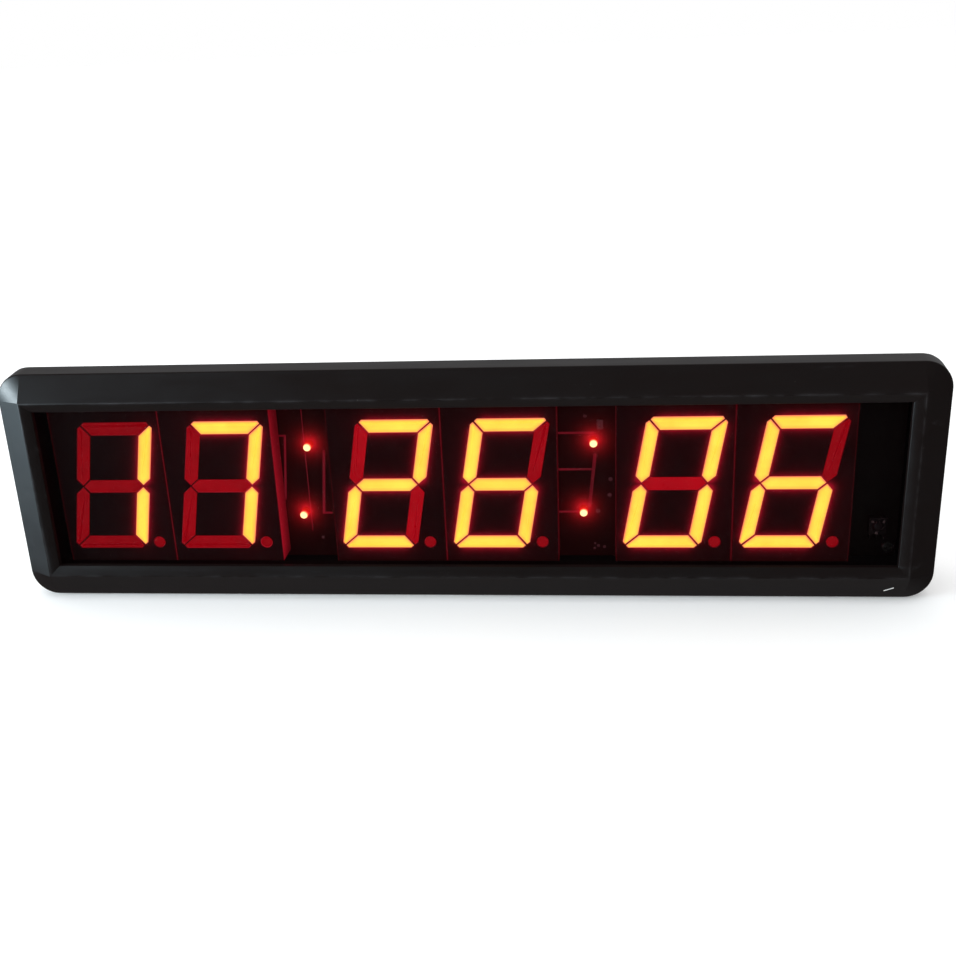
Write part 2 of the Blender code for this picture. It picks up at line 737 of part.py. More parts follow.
def digit_centres():
    centres = []
    x = DIGIT_ROW_X - DIGIT_ROW / 2
    for index in range(DIGIT_COUNT):
        if index in (2, 4):
            x += COLON_GAP
        centres.append(x + DIGIT_PITCH / 2)
        x += DIGIT_PITCH
    return centres


def build_digits():
    """Each module is a black shell with cells, and the red resin cast into it from behind."""
    half_x = (DIGIT_PITCH - SEAT_GAP) / 2
    half_z = DIGIT_HEIGHT / 2
    block = bmesh.new()
    add_box(block, (-half_x, 0, -half_z), (half_x, DIGIT_DEPTH, half_z))
    shell = add_part("digit_shell", block, DIGIT_SHELL)
    pocket_y = DIGIT_DEPTH - POTTING_DEPTH
    pocket_x = half_x - DIGIT_WALL
    pocket_z = half_z - DIGIT_WALL
    pocket = bmesh.new()
    add_box(pocket, (-pocket_x, pocket_y, -pocket_z), (pocket_x, DIGIT_DEPTH + WALL, pocket_z))
    add_boolean(shell, "pocket", pocket, "DIFFERENCE")
    cells = bmesh.new()
    add_segments(cells, CELL_GAP, -WALL, pocket_y + POTTING_DEPTH / 2)
    add_boolean(shell, "cells", cells, "DIFFERENCE")

    slab = bmesh.new()
    slab_x = pocket_x - SEAT_GAP
    slab_z = pocket_z - SEAT_GAP
    slab_y = pocket_y + SEAT_GAP
    add_box(slab, (-slab_x, slab_y, -slab_z), (slab_x, DIGIT_DEPTH - SEAT_GAP, slab_z))
    resin = add_part("digit_resin", slab, RED_RESIN)
    strokes = bmesh.new()
    add_segments(strokes, 0, CELL_GAP, slab_y + POTTING_DEPTH / 4)
    add_boolean(resin, "strokes", strokes, "UNION")

    numbers = range(1, DIGIT_COUNT + 1)
    places = [Matrix.Translation((x, FACE_Y, 0)) for x in digit_centres()]
    add_copies(shell, [f"digit_{number}_shell" for number in numbers], places)
    add_copies(resin, [f"digit_{number}_resin" for number in numbers], places)


def colon_places():
    """Each colon's two LEDs, the upper one first."""
    centres = digit_centres()
    places = []
    for left, (shift_x, shift_z) in zip((1, 3), COLON_SHIFTS):
        middle = (centres[left] + centres[left + 1]) / 2
        for side in (0.5, -0.5):
            x = middle + shift_x + side * COLON_LEAN
            places.append((x, side * COLON_SPREAD + shift_z))
    return places


def build_colon_leds():
    body_top = COLON_LED_HEIGHT - COLON_LED_RADIUS
    dome = []
    for radius, height in reversed(arc((0, body_top), COLON_LED_RADIUS, 0, math.pi / 2, 3)):
        dome.append((max(radius, 0), height))
    profile = dome + [
        (COLON_LED_RADIUS, COLON_LED_FLANGE_HEIGHT),
        (COLON_LED_FLANGE, COLON_LED_FLANGE_HEIGHT),
        (COLON_LED_FLANGE, 0),
        (0, 0),
    ]
    template = add_turned("colon_led", profile, LED_RED, 16)
    smooth(template)
    places = []
    for x, z in colon_places():
        places.append(facing(-Y_AXIS, (x, BOARD_Y - SEAT_GAP, z)))
    add_copies(template, [f"colon_led_{number}" for number in range(1, 5)], places)


def build_remote_receiver():
    x = WINDOW_WIDTH / 2 - RECEIVER_FROM_EDGE
    half = RECEIVER_WIDTH / 2
    low_z = -RECEIVER_DROP - RECEIVER_HEIGHT / 2
    high_z = low_z + RECEIVER_HEIGHT
    back_y = BOARD_Y - RECEIVER_STANDOFF
    front_y = back_y - RECEIVER_DEPTH
    body = bmesh.new()
    low = (x - half, front_y, low_z)
    add_rounded_box(body, low, (x + half, back_y, high_z), RECEIVER_CORNER)
    receiver = add_part("remote_receiver", body, CHIP_BLACK)

    dome = bmesh.new()
    centre = Matrix.Translation((x, front_y + EDGE_BREAK, (low_z + high_z) / 2))
    bmesh.ops.create_uvsphere(
        dome, u_segments=16, v_segments=10, radius=RECEIVER_DOME, matrix=centre
    )
    add_boolean(receiver, "dome", dome, "UNION")

    pins = bmesh.new()
    pin = RECEIVER_PIN
    bend_z = low_z - RECEIVER_PIN_DROP
    bend_y = (front_y + back_y) / 2
    elbow = [
        (bend_y - pin, low_z + pin),
        (bend_y - pin, bend_z - pin),
        (BOARD_Y - SEAT_GAP, bend_z - pin),
        (BOARD_Y - SEAT_GAP, bend_z + pin),
        (bend_y + pin, bend_z + pin),
        (bend_y + pin, low_z + pin),
    ]
    for index in (-1, 0, 1):
        middle = x + index * RECEIVER_PIN_PITCH
        add_outline(pins, [elbow], "X", middle - pin, middle + pin)
    add_boolean(receiver, "pins", pins, "UNION")
    smooth(receiver)


# ---- Main board and what it carries behind ----


def build_main_board():
    bm = bmesh.new()
    add_rounded_box(
        bm,
        (-BOARD_X, BOARD_Y, -BOARD_Z),
        (BOARD_X, BOARD_BACK_Y, BOARD_Z),
        BOARD_CORNER,
        segments=3,
    )
    board = add_part("main_board", bm, BOARD_GREEN)
    holes = bmesh.new()
    for x, z in board_screw_places():
        start = (x, BOARD_Y - WALL, z)
        add_cylinder(holes, start, Y_AXIS, 3 * WALL, SCREW_RADIUS + SEAT_GAP, 12)
    add_boolean(board, "screw_holes", holes, "DIFFERENCE")


def on_board(place, height):
    """Corner heights of a piece that stands on the back of the main board."""
    start = BOARD_BACK_Y + SEAT_GAP
    return place[0], place[1], start, start + height


def add_chip(name, place, legs_a_side):
    """A small-outline chip with its legs down both long sides."""
    x, z, start, end = on_board(place, CHIP_HEIGHT)
    length = legs_a_side * CHIP_PITCH + 2 * CHIP_END
    body = bmesh.new()
    low = (x - length / 2, start + LEAD_FRAME_LIFT, z - CHIP_WIDTH / 2)
    high = (x + length / 2, end, z + CHIP_WIDTH / 2)
    add_box(body, low, high)
    chip = add_part(name, body, CHIP_BLACK)
    legs = bmesh.new()
    width, reach, thickness = CHIP_LEG
    for index in range(legs_a_side):
        middle = x + (index - (legs_a_side - 1) / 2) * CHIP_PITCH
        for side in (-1, 1):
            edge = z + side * CHIP_WIDTH / 2
            inner = edge - side * width
            outer = edge + side * reach
            add_box(
                legs,
                (middle - width / 2, start, min(inner, outer)),
                (middle + width / 2, start + thickness, max(inner, outer)),
            )
    add_boolean(chip, "legs", legs, "UNION")


def build_buzzer():
    rim = BUZZER_RADIUS - EDGE_BREAK
    profile = [
        (0, BUZZER_HEIGHT - BUZZER_PORT),
        (BUZZER_PORT, BUZZER_HEIGHT - BUZZER_PORT),
        (BUZZER_PORT, BUZZER_HEIGHT),
        (rim, BUZZER_HEIGHT),
        (BUZZER_RADIUS, BUZZER_HEIGHT - EDGE_BREAK),
        (BUZZER_RADIUS, EDGE_BREAK),
        (rim, 0),
        (0, 0),
    ]
    buzzer = add_turned("buzzer", profile, CHIP_BLACK, 32)
    x, z, start, _ = on_board(BUZZER_AT, BUZZER_HEIGHT)
    buzzer.matrix_world = facing(Y_AXIS, (x, start, z))
    smooth(buzzer)


def build_clock_cell():
    """The backup cell and the cup that holds it."""
    x, z, start, end = on_board(CELL_AT, HOLDER_HEIGHT)
    half = HOLDER_SIZE / 2
    body = bmesh.new()
    low = (x - half, start, z - half)
    add_rounded_box(body, low, (x + half, end, z + half), HOLDER_CORNER)
    holder = add_part("cell_holder", body, BLACK_NYLON)
    cup = bmesh.new()
    floor = start + HOLDER_FLOOR
    add_cylinder(cup, (x, floor, z), Y_AXIS, HOLDER_HEIGHT, CELL_RADIUS + SEAT_GAP, 32)
    add_boolean(holder, "cup", cup, "DIFFERENCE")
    notch = bmesh.new()
    add_box(
        notch,
        (x - FINGER_NOTCH, floor, z - HOLDER_SIZE),
        (x + FINGER_NOTCH, end + WALL, z - CELL_RADIUS + EDGE_BREAK),
    )
    add_boolean(holder, "finger_notch", notch, "DIFFERENCE")

    edge = CELL_RADIUS - EDGE_BREAK
    profile = [
        (0, CELL_HEIGHT),
        (edge, CELL_HEIGHT),
        (CELL_RADIUS, CELL_HEIGHT - EDGE_BREAK),
        (CELL_RADIUS, EDGE_BREAK),
        (edge - EDGE_BREAK, 0),
        (0, 0),
    ]
    cell = add_turned("coin_cell", profile, BRIGHT_METAL, 32)
    cell.matrix_world = facing(Y_AXIS, (x, floor + SEAT_GAP, z))
    smooth(cell)


def build_supply_parts():
    x, z, start, _ = on_board(CAPACITOR_AT, CAPACITOR_HEIGHT)
    rim = CAPACITOR_RADIUS - EDGE_BREAK
    groove = CAPACITOR_GROOVE
    profile = [
        (0, CAPACITOR_HEIGHT - EDGE_BREAK),
        (rim - EDGE_BREAK, CAPACITOR_HEIGHT - EDGE_BREAK),
        (rim, CAPACITOR_HEIGHT),
        (CAPACITOR_RADIUS, CAPACITOR_HEIGHT - EDGE_BREAK),
        (CAPACITOR_RADIUS, groove + EDGE_BREAK),
        (rim, groove),
        (CAPACITOR_RADIUS, groove - EDGE_BREAK),
        (CAPACITOR_RADIUS, 0),
        (0, 0),
    ]
    capacitor = add_turned("supply_capacitor", profile, SLEEVE_BLUE, 24)
    capacitor.matrix_world = facing(Y_AXIS, (x, start, z))
    smooth(capacitor)

    x, z, start, end = on_board(INDUCTOR_AT, INDUCTOR_HEIGHT)
    half = INDUCTOR_SIZE / 2
    block = bmesh.new()
    low = (x - half, start, z - half)
    add_rounded_box(block, low, (x + half, end, z + half), INDUCTOR_CORNER)
    add_part("supply_inductor", block, CHIP_BLACK)

    x, z, start, end = on_board(REGULATOR_AT, CHIP_HEIGHT)
    half_x, half_z = (size / 2 for size in REGULATOR_SIZE)
    block = bmesh.new()
    add_box(block, (x - half_x, start, z - half_z), (x + half_x, end, z + half_z))
    regulator = add_part("regulator", block, CHIP_BLACK)
    metal = bmesh.new()
    foot = start + LEAD_FRAME_LIFT
    top = foot + CHIP_LEG[2]
    half_tab = REGULATOR_TAB[0] / 2
    tab_end = z + half_z + REGULATOR_TAB[1]
    add_box(metal, (x - half_tab, foot, z), (x + half_tab, top, tab_end))
    half_leg = REGULATOR_LEG[0] / 2
    leg_end = z - half_z - REGULATOR_LEG[1]
    for side in (-1, 1):
        middle = x + side * REGULATOR_LEG_X
        low = (middle - half_leg, foot, leg_end)
        add_box(metal, low, (middle + half_leg, top, z - half_z / 2))
    add_boolean(regulator, "tabs", metal, "UNION")


def build_crystal():
    x, z, start, end = on_board(CRYSTAL_AT, CRYSTAL_HEIGHT)
    half_x = CRYSTAL_SIZE[0] / 2
    half_z = CRYSTAL_SIZE[1] / 2
    bm = bmesh.new()
    low = (x - half_x, start, z - half_z)
    add_rounded_box(bm, low, (x + half_x, end, z + half_z), half_z * 0.95)
    add_part("crystal", bm, BRIGHT_METAL)


def build_power_header():
    x, z, start, end = on_board(HEADER_AT, HEADER_SIZE[2])
    half_x = HEADER_SIZE[0] / 2
    half_z = HEADER_SIZE[1] / 2
    bm = bmesh.new()
    low = (x - half_x, start, z - half_z)
    add_rounded_box(bm, low, (x + half_x, end, z + half_z), EDGE_BREAK)
    header = add_part("power_header", bm, WHITE_PLASTIC)
    slot = bmesh.new()
    add_box(
        slot,
        (x - half_x / 2, end - HEADER_NOTCH, z + half_z - HEADER_NOTCH),
        (x + half_x / 2, end + HEADER_NOTCH, z + half_z + HEADER_NOTCH),
    )
    add_boolean(header, "latch_notch", slot, "DIFFERENCE")


# ---- Controls in the bottom wall ----


def build_power_inlet():
    mouth = JACK_FLANGE_HEIGHT
    tail = -JACK_LENGTH
    profile = [
        (0, mouth - SOCKET_DEPTH),
        (SOCKET_RADIUS, mouth - SOCKET_DEPTH),
        (SOCKET_RADIUS, mouth),
        (JACK_FLANGE - EDGE_BREAK, mouth),
        (JACK_FLANGE, mouth - EDGE_BREAK),
        (JACK_FLANGE, 0),
        (JACK_BARREL, 0),
        (JACK_BARREL, tail + JACK_TAIL),
        (JACK_BARREL - EDGE_BREAK, tail + JACK_TAIL),
        (JACK_BARREL - EDGE_BREAK, tail),
        (0, tail),
    ]
    jack = add_turned("power_inlet", profile, BLACK_NYLON, 24)
    seat_z = BOTTOM_Z - SEAT_GAP
    jack.matrix_world = facing(-Z_AXIS, (JACK_X, CONTROL_Y, seat_z))
    tabs = bmesh.new()
    tail_z = seat_z - tail
    half_x, half_y = (size / 2 for size in INLET_TAB_SIZE)
    for side in (-1, 1):
        x = JACK_X + side * INLET_TAB_X
        add_box(
            tabs,
            (x - half_x, CONTROL_Y - half_y, tail_z - EDGE_BREAK),
            (x + half_x, CONTROL_Y + half_y, tail_z + INLET_TAB),
        )
    add_boolean(jack, "tabs", tabs, "UNION")
    smooth(jack)

    floor_z = seat_z - mouth + SOCKET_DEPTH
    pin_length = SOCKET_DEPTH - SOCKET_PIN_RECESS
    pin_profile = [
        (0, pin_length),
        (SOCKET_PIN_RADIUS * 0.6, pin_length),
        (SOCKET_PIN_RADIUS, pin_length - EDGE_BREAK),
        (SOCKET_PIN_RADIUS, 0),
        (0, 0),
    ]
    pin = add_turned("power_inlet_pin", pin_profile, BRIGHT_METAL, 16)
    pin.matrix_world = facing(-Z_AXIS, (JACK_X, CONTROL_Y, floor_z - SEAT_GAP))
    smooth(pin)

    nut = bmesh.new()
    corner = NUT_FLATS / 2 / math.cos(math.pi / 6)
    centre = (JACK_X, CONTROL_Y)
    start = INSIDE_Z + SEAT_GAP
    outlines = [circle(centre, corner, 6), circle(centre, JACK_BARREL + SEAT_GAP, 24)]
    add_outline(nut, outlines, "Z", start, start + NUT_HEIGHT)
    add_part("power_inlet_nut", nut, BRIGHT_METAL)


def rocker_outline():
    """Across the rocker, with the pivot at the origin and its face towards -Z."""
    end_angle = math.asin(ROCKER_CROWN / ROCKER_RADIUS) + ROCKER_TILT
    right = arc((0, 0), ROCKER_RADIUS, -end_angle, ROCKER_HEEL, 4)
    left = [(-x, z) for x, z in reversed(right)]
    return [(0, -ROCKER_CROWN)] + right + [(0, ROCKER_CROWN)] + left


def build_power_switch():
    bezel_z = BOTTOM_Z - SEAT_GAP
    face_z = bezel_z - SWITCH_BEZEL_HEIGHT
    top_z = bezel_z + SWITCH_BODY_HEIGHT
    bezel = bmesh.new()
    half_x, half_y = (size / 2 for size in SWITCH_BEZEL)
    low = (SWITCH_X - half_x, CONTROL_Y - half_y, face_z)
    high = (SWITCH_X + half_x, CONTROL_Y + half_y, bezel_z)
    add_rounded_box(bezel, low, high, SWITCH_BEZEL_CORNER, Z_AXIS, 3)
    body = add_part("power_switch_body", bezel, BLACK_NYLON)

    housing = bmesh.new()
    half_x, half_y = (size / 2 for size in SWITCH_BODY)
    low = (SWITCH_X - half_x, CONTROL_Y - half_y, face_z + SWITCH_BEZEL_HEIGHT / 2)
    add_box(housing, low, (SWITCH_X + half_x, CONTROL_Y + half_y, top_z))
    add_boolean(body, "housing", housing, "UNION")

    blades = bmesh.new()
    half_x, half_y = (size / 2 for size in SWITCH_BLADE_SIZE)
    for side in (-1, 1):
        x = SWITCH_X + side * SWITCH_BLADE_X
        add_box(
            blades,
            (x - half_x, CONTROL_Y - half_y, top_z - EDGE_BREAK),
            (x + half_x, CONTROL_Y + half_y, top_z + SWITCH_BLADE),
        )
    add_boolean(body, "blades", blades, "UNION")

    well = bmesh.new()
    half_x = ROCKER_RADIUS + SEAT_GAP
    half_y = ROCKER_WIDTH / 2 + SEAT_GAP
    add_box(
        well,
        (SWITCH_X - half_x, CONTROL_Y - half_y, face_z - SWITCH_BEZEL_HEIGHT),
        (SWITCH_X + half_x, CONTROL_Y + half_y, PIVOT_Z + ROCKER_WELL),
    )
    add_boolean(body, "well", well, "DIFFERENCE")
    holes = bmesh.new()
    hole_reach = half_y + ROCKER_PIN_LENGTH
    start = (SWITCH_X, CONTROL_Y - hole_reach, PIVOT_Z)
    hole_radius = ROCKER_PIN_RADIUS + PIVOT_GAP
    add_cylinder(holes, start, Y_AXIS, 2 * hole_reach, hole_radius, 24)
    add_boolean(body, "pivot_holes", holes, "DIFFERENCE")
    smooth(body)


def build_power_rocker():
    bm = bmesh.new()
    half_width = ROCKER_WIDTH / 2
    add_outline(bm, [rocker_outline()], "Y", -half_width, half_width)
    rocker = add_part("power_rocker", bm, BLACK_NYLON)
    pins = bmesh.new()
    reach = half_width + ROCKER_PIN_LENGTH
    add_cylinder(pins, (0, -reach, 0), Y_AXIS, 2 * reach, ROCKER_PIN_RADIUS, 16)
    add_boolean(rocker, "pins", pins, "UNION")
    place = Matrix.Translation((SWITCH_X, CONTROL_Y, PIVOT_Z))
    place @= Matrix.Rotation(ROCKER_TILT, 4, "Y")
    rocker.matrix_world = place
    cutters.objects["power_rocker_pins"].matrix_world = place
    smooth(rocker)


def build_keys():
    """Caps that slide up through the bottom wall against their switches."""
    collar_top = -KEY_COLLAR_HEIGHT
    stem_top = collar_top - KEY_STEM_LENGTH
    face = WALL + SEAT_GAP + KEY_PROUD
    profile = [
        (0, face),
        (KEY_RADIUS - EDGE_BREAK, face),
        (KEY_RADIUS, face - EDGE_BREAK),
        (KEY_RADIUS, 0),
        (KEY_COLLAR, 0),
        (KEY_COLLAR, collar_top),
        (KEY_STEM, collar_top),
        (KEY_STEM, stem_top),
        (0, stem_top),
    ]
    cap = add_turned("key_cap", profile, WHITE_PLASTIC, 16)
    smooth(cap)
    names = [f"key_cap_{number}" for number in range(1, KEY_COUNT + 1)]
    places = [facing(-Z_AXIS, (x, CONTROL_Y, KEY_COLLAR_Z)) for x in key_places()]
    add_copies(cap, names, places)

    half = KEY_SWITCH_SIZE / 2
    block = bmesh.new()
    high = (half, half, KEY_SWITCH_HEIGHT)
    add_rounded_box(block, (-half, -half, 0), high, EDGE_BREAK, Z_AXIS, 2)
    switch = add_part("key_switch", block, CHIP_BLACK)
    recess = bmesh.new()
    depth = KEY_STEM_LENGTH + SEAT_GAP
    add_cylinder(recess, (0, 0, -depth), Z_AXIS, 2 * depth, KEY_STEM + SEAT_GAP, 16)
    add_boolean(switch, "recess", recess, "DIFFERENCE")
    names = [f"key_switch_{number}" for number in range(1, KEY_COUNT + 1)]
    places = [Matrix.Translation((x, CONTROL_Y, KEY_SWITCH_Z)) for x in key_places()]
    add_copies(switch, names, places)


def build_key_board():
    half_x = KEY_BOARD_LENGTH / 2
    half_y = KEY_BOARD_WIDTH / 2
    low = (KEY_X - half_x, CONTROL_Y - half_y, KEY_BOARD_Z)
    high = (KEY_X + half_x, CONTROL_Y + half_y, KEY_BOARD_Z + BOARD_THICKNESS)
    bm = bmesh.new()
    add_rounded_box(bm, low, high, KEY_BOARD_CORNER, Z_AXIS, 2)
    board = add_part("key_board", bm, BOARD_GREEN)
    holes = bmesh.new()
    for x in key_peg_places():
        start = (x, CONTROL_Y, KEY_BOARD_Z - WALL)
        add_cylinder(holes, start, Z_AXIS, 3 * WALL, KEY_SPIGOT_RADIUS + SEAT_GAP, 16)
    add_boolean(board, "peg_holes", holes, "DIFFERENCE")


# ---- Screws and leads ----


def build_screws():
    """Pan-head screws with a cross recess, for the case and for the main board."""
    crown = SCREW_HEAD_HEIGHT
    profile = [
        (0, crown),
        (SCREW_HEAD_RADIUS * 0.8, crown * 0.85),
        (SCREW_HEAD_RADIUS, crown * 0.3),
        (SCREW_HEAD_RADIUS, 0),
        (SCREW_RADIUS, 0),
        (SCREW_RADIUS, -SCREW_LENGTH + SCREW_RADIUS),
        (0, -SCREW_LENGTH),
    ]
    screw = add_turned("screw", profile, SCREW_ZINC, 12)
    smooth(screw)
    arm, slit, depth = SCREW_RECESS
    for name, half_x, half_y in (("slit", arm, slit), ("cross_slit", slit, arm)):
        recess = bmesh.new()
        add_box(recess, (-half_x, -half_y, crown - depth), (half_x, half_y, crown + depth))
        add_boolean(screw, name, recess, "DIFFERENCE")

    names = []
    places = []
    for number, (x, z) in enumerate(case_screw_places(), 1):
        names.append(f"case_screw_{number}")
        places.append(facing(Y_AXIS, (x, FLANGE_BACK_Y + SEAT_GAP, z)))
    for number, (x, z) in enumerate(board_screw_places(), 1):
        names.append(f"board_screw_{number}")
        places.append(facing(-Y_AXIS, (x, BOARD_Y - SEAT_GAP, z)))
    add_copies(screw, names, places)


def smooth_route(route, steps=4):
    """Points on a Catmull-Rom curve through a route's own points."""
    ends = [2 * route[0] - route[1]] + route + [2 * route[-1] - route[-2]]
    points = []
    for before, start, end, after in zip(ends, ends[1:], ends[2:], ends[3:]):
        for step in range(steps):
            t = step / steps
            points.append(
                0.5
                * (
                    2 * start
                    + (end - before) * t
                    + (2 * before - 5 * start + 4 * end - after) * t**2
                    + (3 * start - before - 3 * end + after) * t**3
                )
            )
    return points + [route[-1]]


def add_lead(name, route, finish):
    points = smooth_route([Vector(point) for point in route])
    curve = bpy.data.curves.new(name, "CURVE")
    curve.dimensions = "3D"
    curve.bevel_depth = LEAD_RADIUS
    curve.bevel_resolution = 2
    curve.use_fill_caps = True
    spline = curve.splines.new("POLY")
    spline.points.add(len(points) - 1)
    for point, place in zip(spline.points, points):
        point.co = (*place, 1)
    lead = bpy.data.objects.new(name, curve)
    parts.objects.link(lead)
    add_finish(lead, finish)


def build_leads():
    """Two-core supply wiring from the inlet, through the switch, to the main board."""
    tab_z = BOTTOM_Z + JACK_LENGTH + INLET_TAB
    blade_z = BOTTOM_Z + SWITCH_BODY_HEIGHT + SWITCH_BLADE
    header_z = HEADER_AT[1] - HEADER_SIZE[1] / 2 - SEAT_GAP
    header_y = BOARD_BACK_Y + SEAT_GAP + HEADER_SIZE[2] / 2
    header_left = HEADER_AT[0] - HEADER_SIZE[0] / 4
    header_right = HEADER_AT[0] + HEADER_SIZE[0] / 4
    inlet_left = JACK_X - INLET_TAB_X
    inlet_right = JACK_X + INLET_TAB_X
    switch_left = SWITCH_X - SWITCH_BLADE_X
    switch_right = SWITCH_X + SWITCH_BLADE_X
    rise = LEAD_RISE
    add_lead(
        "lead_inlet_to_switch",
        [
            (inlet_right, CONTROL_Y, tab_z),
            (inlet_right, CONTROL_Y, tab_z + rise),
            ((inlet_right + switch_left) / 2, CONTROL_Y, max(tab_z, blade_z) + 2 * rise),
            (switch_left, CONTROL_Y, blade_z + rise),
            (switch_left, CONTROL_Y, blade_z),
        ],
        LEAD_RED,
    )
    add_lead(
        "lead_switch_to_board",
        [
            (switch_right, CONTROL_Y, blade_z),
            (switch_right, CONTROL_Y, blade_z + rise),
            ((switch_right + header_right) / 2, header_y, (blade_z + header_z) / 2),
            (header_right, header_y, header_z - 1.5 * rise),
            (header_right, header_y, header_z),
        ],
        LEAD_RED,
    )
    add_lead(
        "lead_inlet_to_board",
        [
            (inlet_left, CONTROL_Y, tab_z),
            (inlet_left, CONTROL_Y, tab_z + rise),
            ((inlet_left + header_left) / 2, header_y, (tab_z + header_z) / 2 + rise),
            (header_left, header_y, header_z - rise),
            (header_left, header_y, header_z),
        ],
        CHIP_BLACK,
    )


clear_scene()
parts = new_collection("gym_round_timer")
cutters = new_collection("gym_round_timer_cutters")

build_front_frame()
build_window_lens()
build_rear_tray()
build_digits()
build_colon_leds()
build_remote_receiver()
build_main_board()
add_chip("microcontroller", CONTROLLER_AT, 10)
for driver_number, driver_place in enumerate(DRIVERS_AT, 1):
    add_chip(f"led_driver_{driver_number}", driver_place, 8)
build_crystal()
build_buzzer()
build_clock_cell()
build_supply_parts()
build_power_header()
build_power_inlet()
build_power_switch()
build_power_rocker()
build_keys()
build_key_board()
build_screws()
build_leads()
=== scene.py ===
# Wall-hung LED interval timer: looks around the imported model. Metres, front towards -Y.
import bpy
import bmesh
import json
from math import atan2, cos, pi, radians, sin, sqrt, tan
from mathutils import Matrix, Vector

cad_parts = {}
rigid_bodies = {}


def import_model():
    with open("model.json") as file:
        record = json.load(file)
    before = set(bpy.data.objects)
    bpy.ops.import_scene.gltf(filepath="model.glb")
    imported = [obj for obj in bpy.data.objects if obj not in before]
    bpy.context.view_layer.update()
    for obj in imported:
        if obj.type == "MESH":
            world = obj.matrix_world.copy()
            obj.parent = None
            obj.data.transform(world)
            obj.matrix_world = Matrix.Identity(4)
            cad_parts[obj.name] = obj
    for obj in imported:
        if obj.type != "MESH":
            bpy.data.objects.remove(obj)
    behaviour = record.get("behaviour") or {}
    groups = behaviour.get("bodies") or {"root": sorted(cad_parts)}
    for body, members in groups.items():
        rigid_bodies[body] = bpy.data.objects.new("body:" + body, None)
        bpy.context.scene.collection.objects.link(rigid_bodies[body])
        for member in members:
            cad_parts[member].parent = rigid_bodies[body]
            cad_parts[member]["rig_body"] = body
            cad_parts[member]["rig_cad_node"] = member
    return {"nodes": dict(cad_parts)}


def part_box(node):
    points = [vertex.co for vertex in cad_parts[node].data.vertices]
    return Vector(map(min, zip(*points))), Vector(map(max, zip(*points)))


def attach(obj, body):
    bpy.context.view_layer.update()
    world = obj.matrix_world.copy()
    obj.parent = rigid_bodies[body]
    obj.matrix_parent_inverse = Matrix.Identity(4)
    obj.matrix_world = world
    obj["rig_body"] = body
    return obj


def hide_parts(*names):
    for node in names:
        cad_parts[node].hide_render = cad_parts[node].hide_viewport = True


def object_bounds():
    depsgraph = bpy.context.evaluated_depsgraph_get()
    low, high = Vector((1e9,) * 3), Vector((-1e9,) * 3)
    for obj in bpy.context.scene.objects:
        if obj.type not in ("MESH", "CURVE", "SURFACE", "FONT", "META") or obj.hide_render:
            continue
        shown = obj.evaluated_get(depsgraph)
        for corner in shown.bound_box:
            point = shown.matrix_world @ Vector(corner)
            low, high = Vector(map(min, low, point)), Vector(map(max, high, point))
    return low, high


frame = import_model()
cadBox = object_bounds()
bpy.ops.object.select_all(action="DESELECT")
mm = 0.001
touching = 1e-6  # closer than this, two places are the same


def only(piece):
    bpy.ops.object.select_all(action="DESELECT")
    piece.select_set(True)
    bpy.context.view_layer.objects.active = piece


def named(piece, name):
    piece.name = name
    piece.data.name = name
    return piece


def paint(piece, look):
    piece.data.materials.clear()
    piece.data.materials.append(finish[look])
    return piece


def finishPlace(piece, name, look=None):
    only(piece)
    bpy.ops.object.transform_apply(location=True, rotation=True, scale=True)
    named(piece, name)
    return paint(piece, look) if look else piece


def block(name, low, high, look=None):
    low, high = Vector(low), Vector(high)
    bpy.ops.mesh.primitive_cube_add(size=1, location=(low + high) / 2)
    piece = bpy.context.object
    piece.scale = high - low
    return finishPlace(piece, name, look)


def rod(name, start, direction, length, radius, sides=40, look=None):
    direction = Vector(direction).normalized()
    bpy.ops.mesh.primitive_cylinder_add(
        vertices=sides, radius=radius, depth=length,
        location=Vector(start) + direction * length / 2,
        rotation=direction.to_track_quat("Z", "Y").to_euler())
    return finishPlace(bpy.context.object, name, look)


def edit(piece, mode="FACE"):
    only(piece)
    bpy.ops.object.mode_set(mode="EDIT")
    bpy.ops.mesh.select_mode(type=mode)
    bpy.ops.mesh.select_all(action="DESELECT")


def editAll(piece, mode="FACE"):
    edit(piece, mode)
    bpy.ops.mesh.select_all(action="SELECT")


def leave():
    bpy.ops.object.mode_set(mode="OBJECT")


def pickFaces(piece, test):
    edit(piece, "FACE")
    bm = bmesh.from_edit_mesh(piece.data)
    for face in bm.faces:
        face.select_set(bool(test(face.calc_center_median(), face.normal)))
    bm.select_flush_mode()
    bmesh.update_edit_mesh(piece.data)


def pickVerts(piece, test):
    edit(piece, "VERT")
    bm = bmesh.from_edit_mesh(piece.data)
    for vert in bm.verts:
        vert.select_set(bool(test(vert.co)))
    bmesh.update_edit_mesh(piece.data)


def pickEdges(piece, test):
    edit(piece, "EDGE")
    bm = bmesh.from_edit_mesh(piece.data)
    for edge in bm.edges:
        if test(edge.verts[0].co, edge.verts[1].co):
            edge.select_set(True)
    bmesh.update_edit_mesh(piece.data)


def extrude(x=0, y=0, z=0):
    bpy.ops.mesh.extrude_region_move(TRANSFORM_OT_translate={"value": (x, y, z)})


def along(axis):
    # edges that run along an axis
    others = [i for i in range(3) if i != axis]
    return lambda a, b: all(abs(a[i] - b[i]) < touching for i in others)


def across(axis, place, reach=touching):
    # edges that lie in the plane at this place on an axis
    return lambda a, b: all(abs(p[axis] - place) < reach for p in (a, b))


def roundEdges(piece, test, radius, segments=4):
    pickEdges(piece, test)
    bpy.ops.mesh.bevel(
        offset=radius, offset_type="OFFSET", segments=segments, profile=0.5, affect="EDGES")
    leave()
    return piece


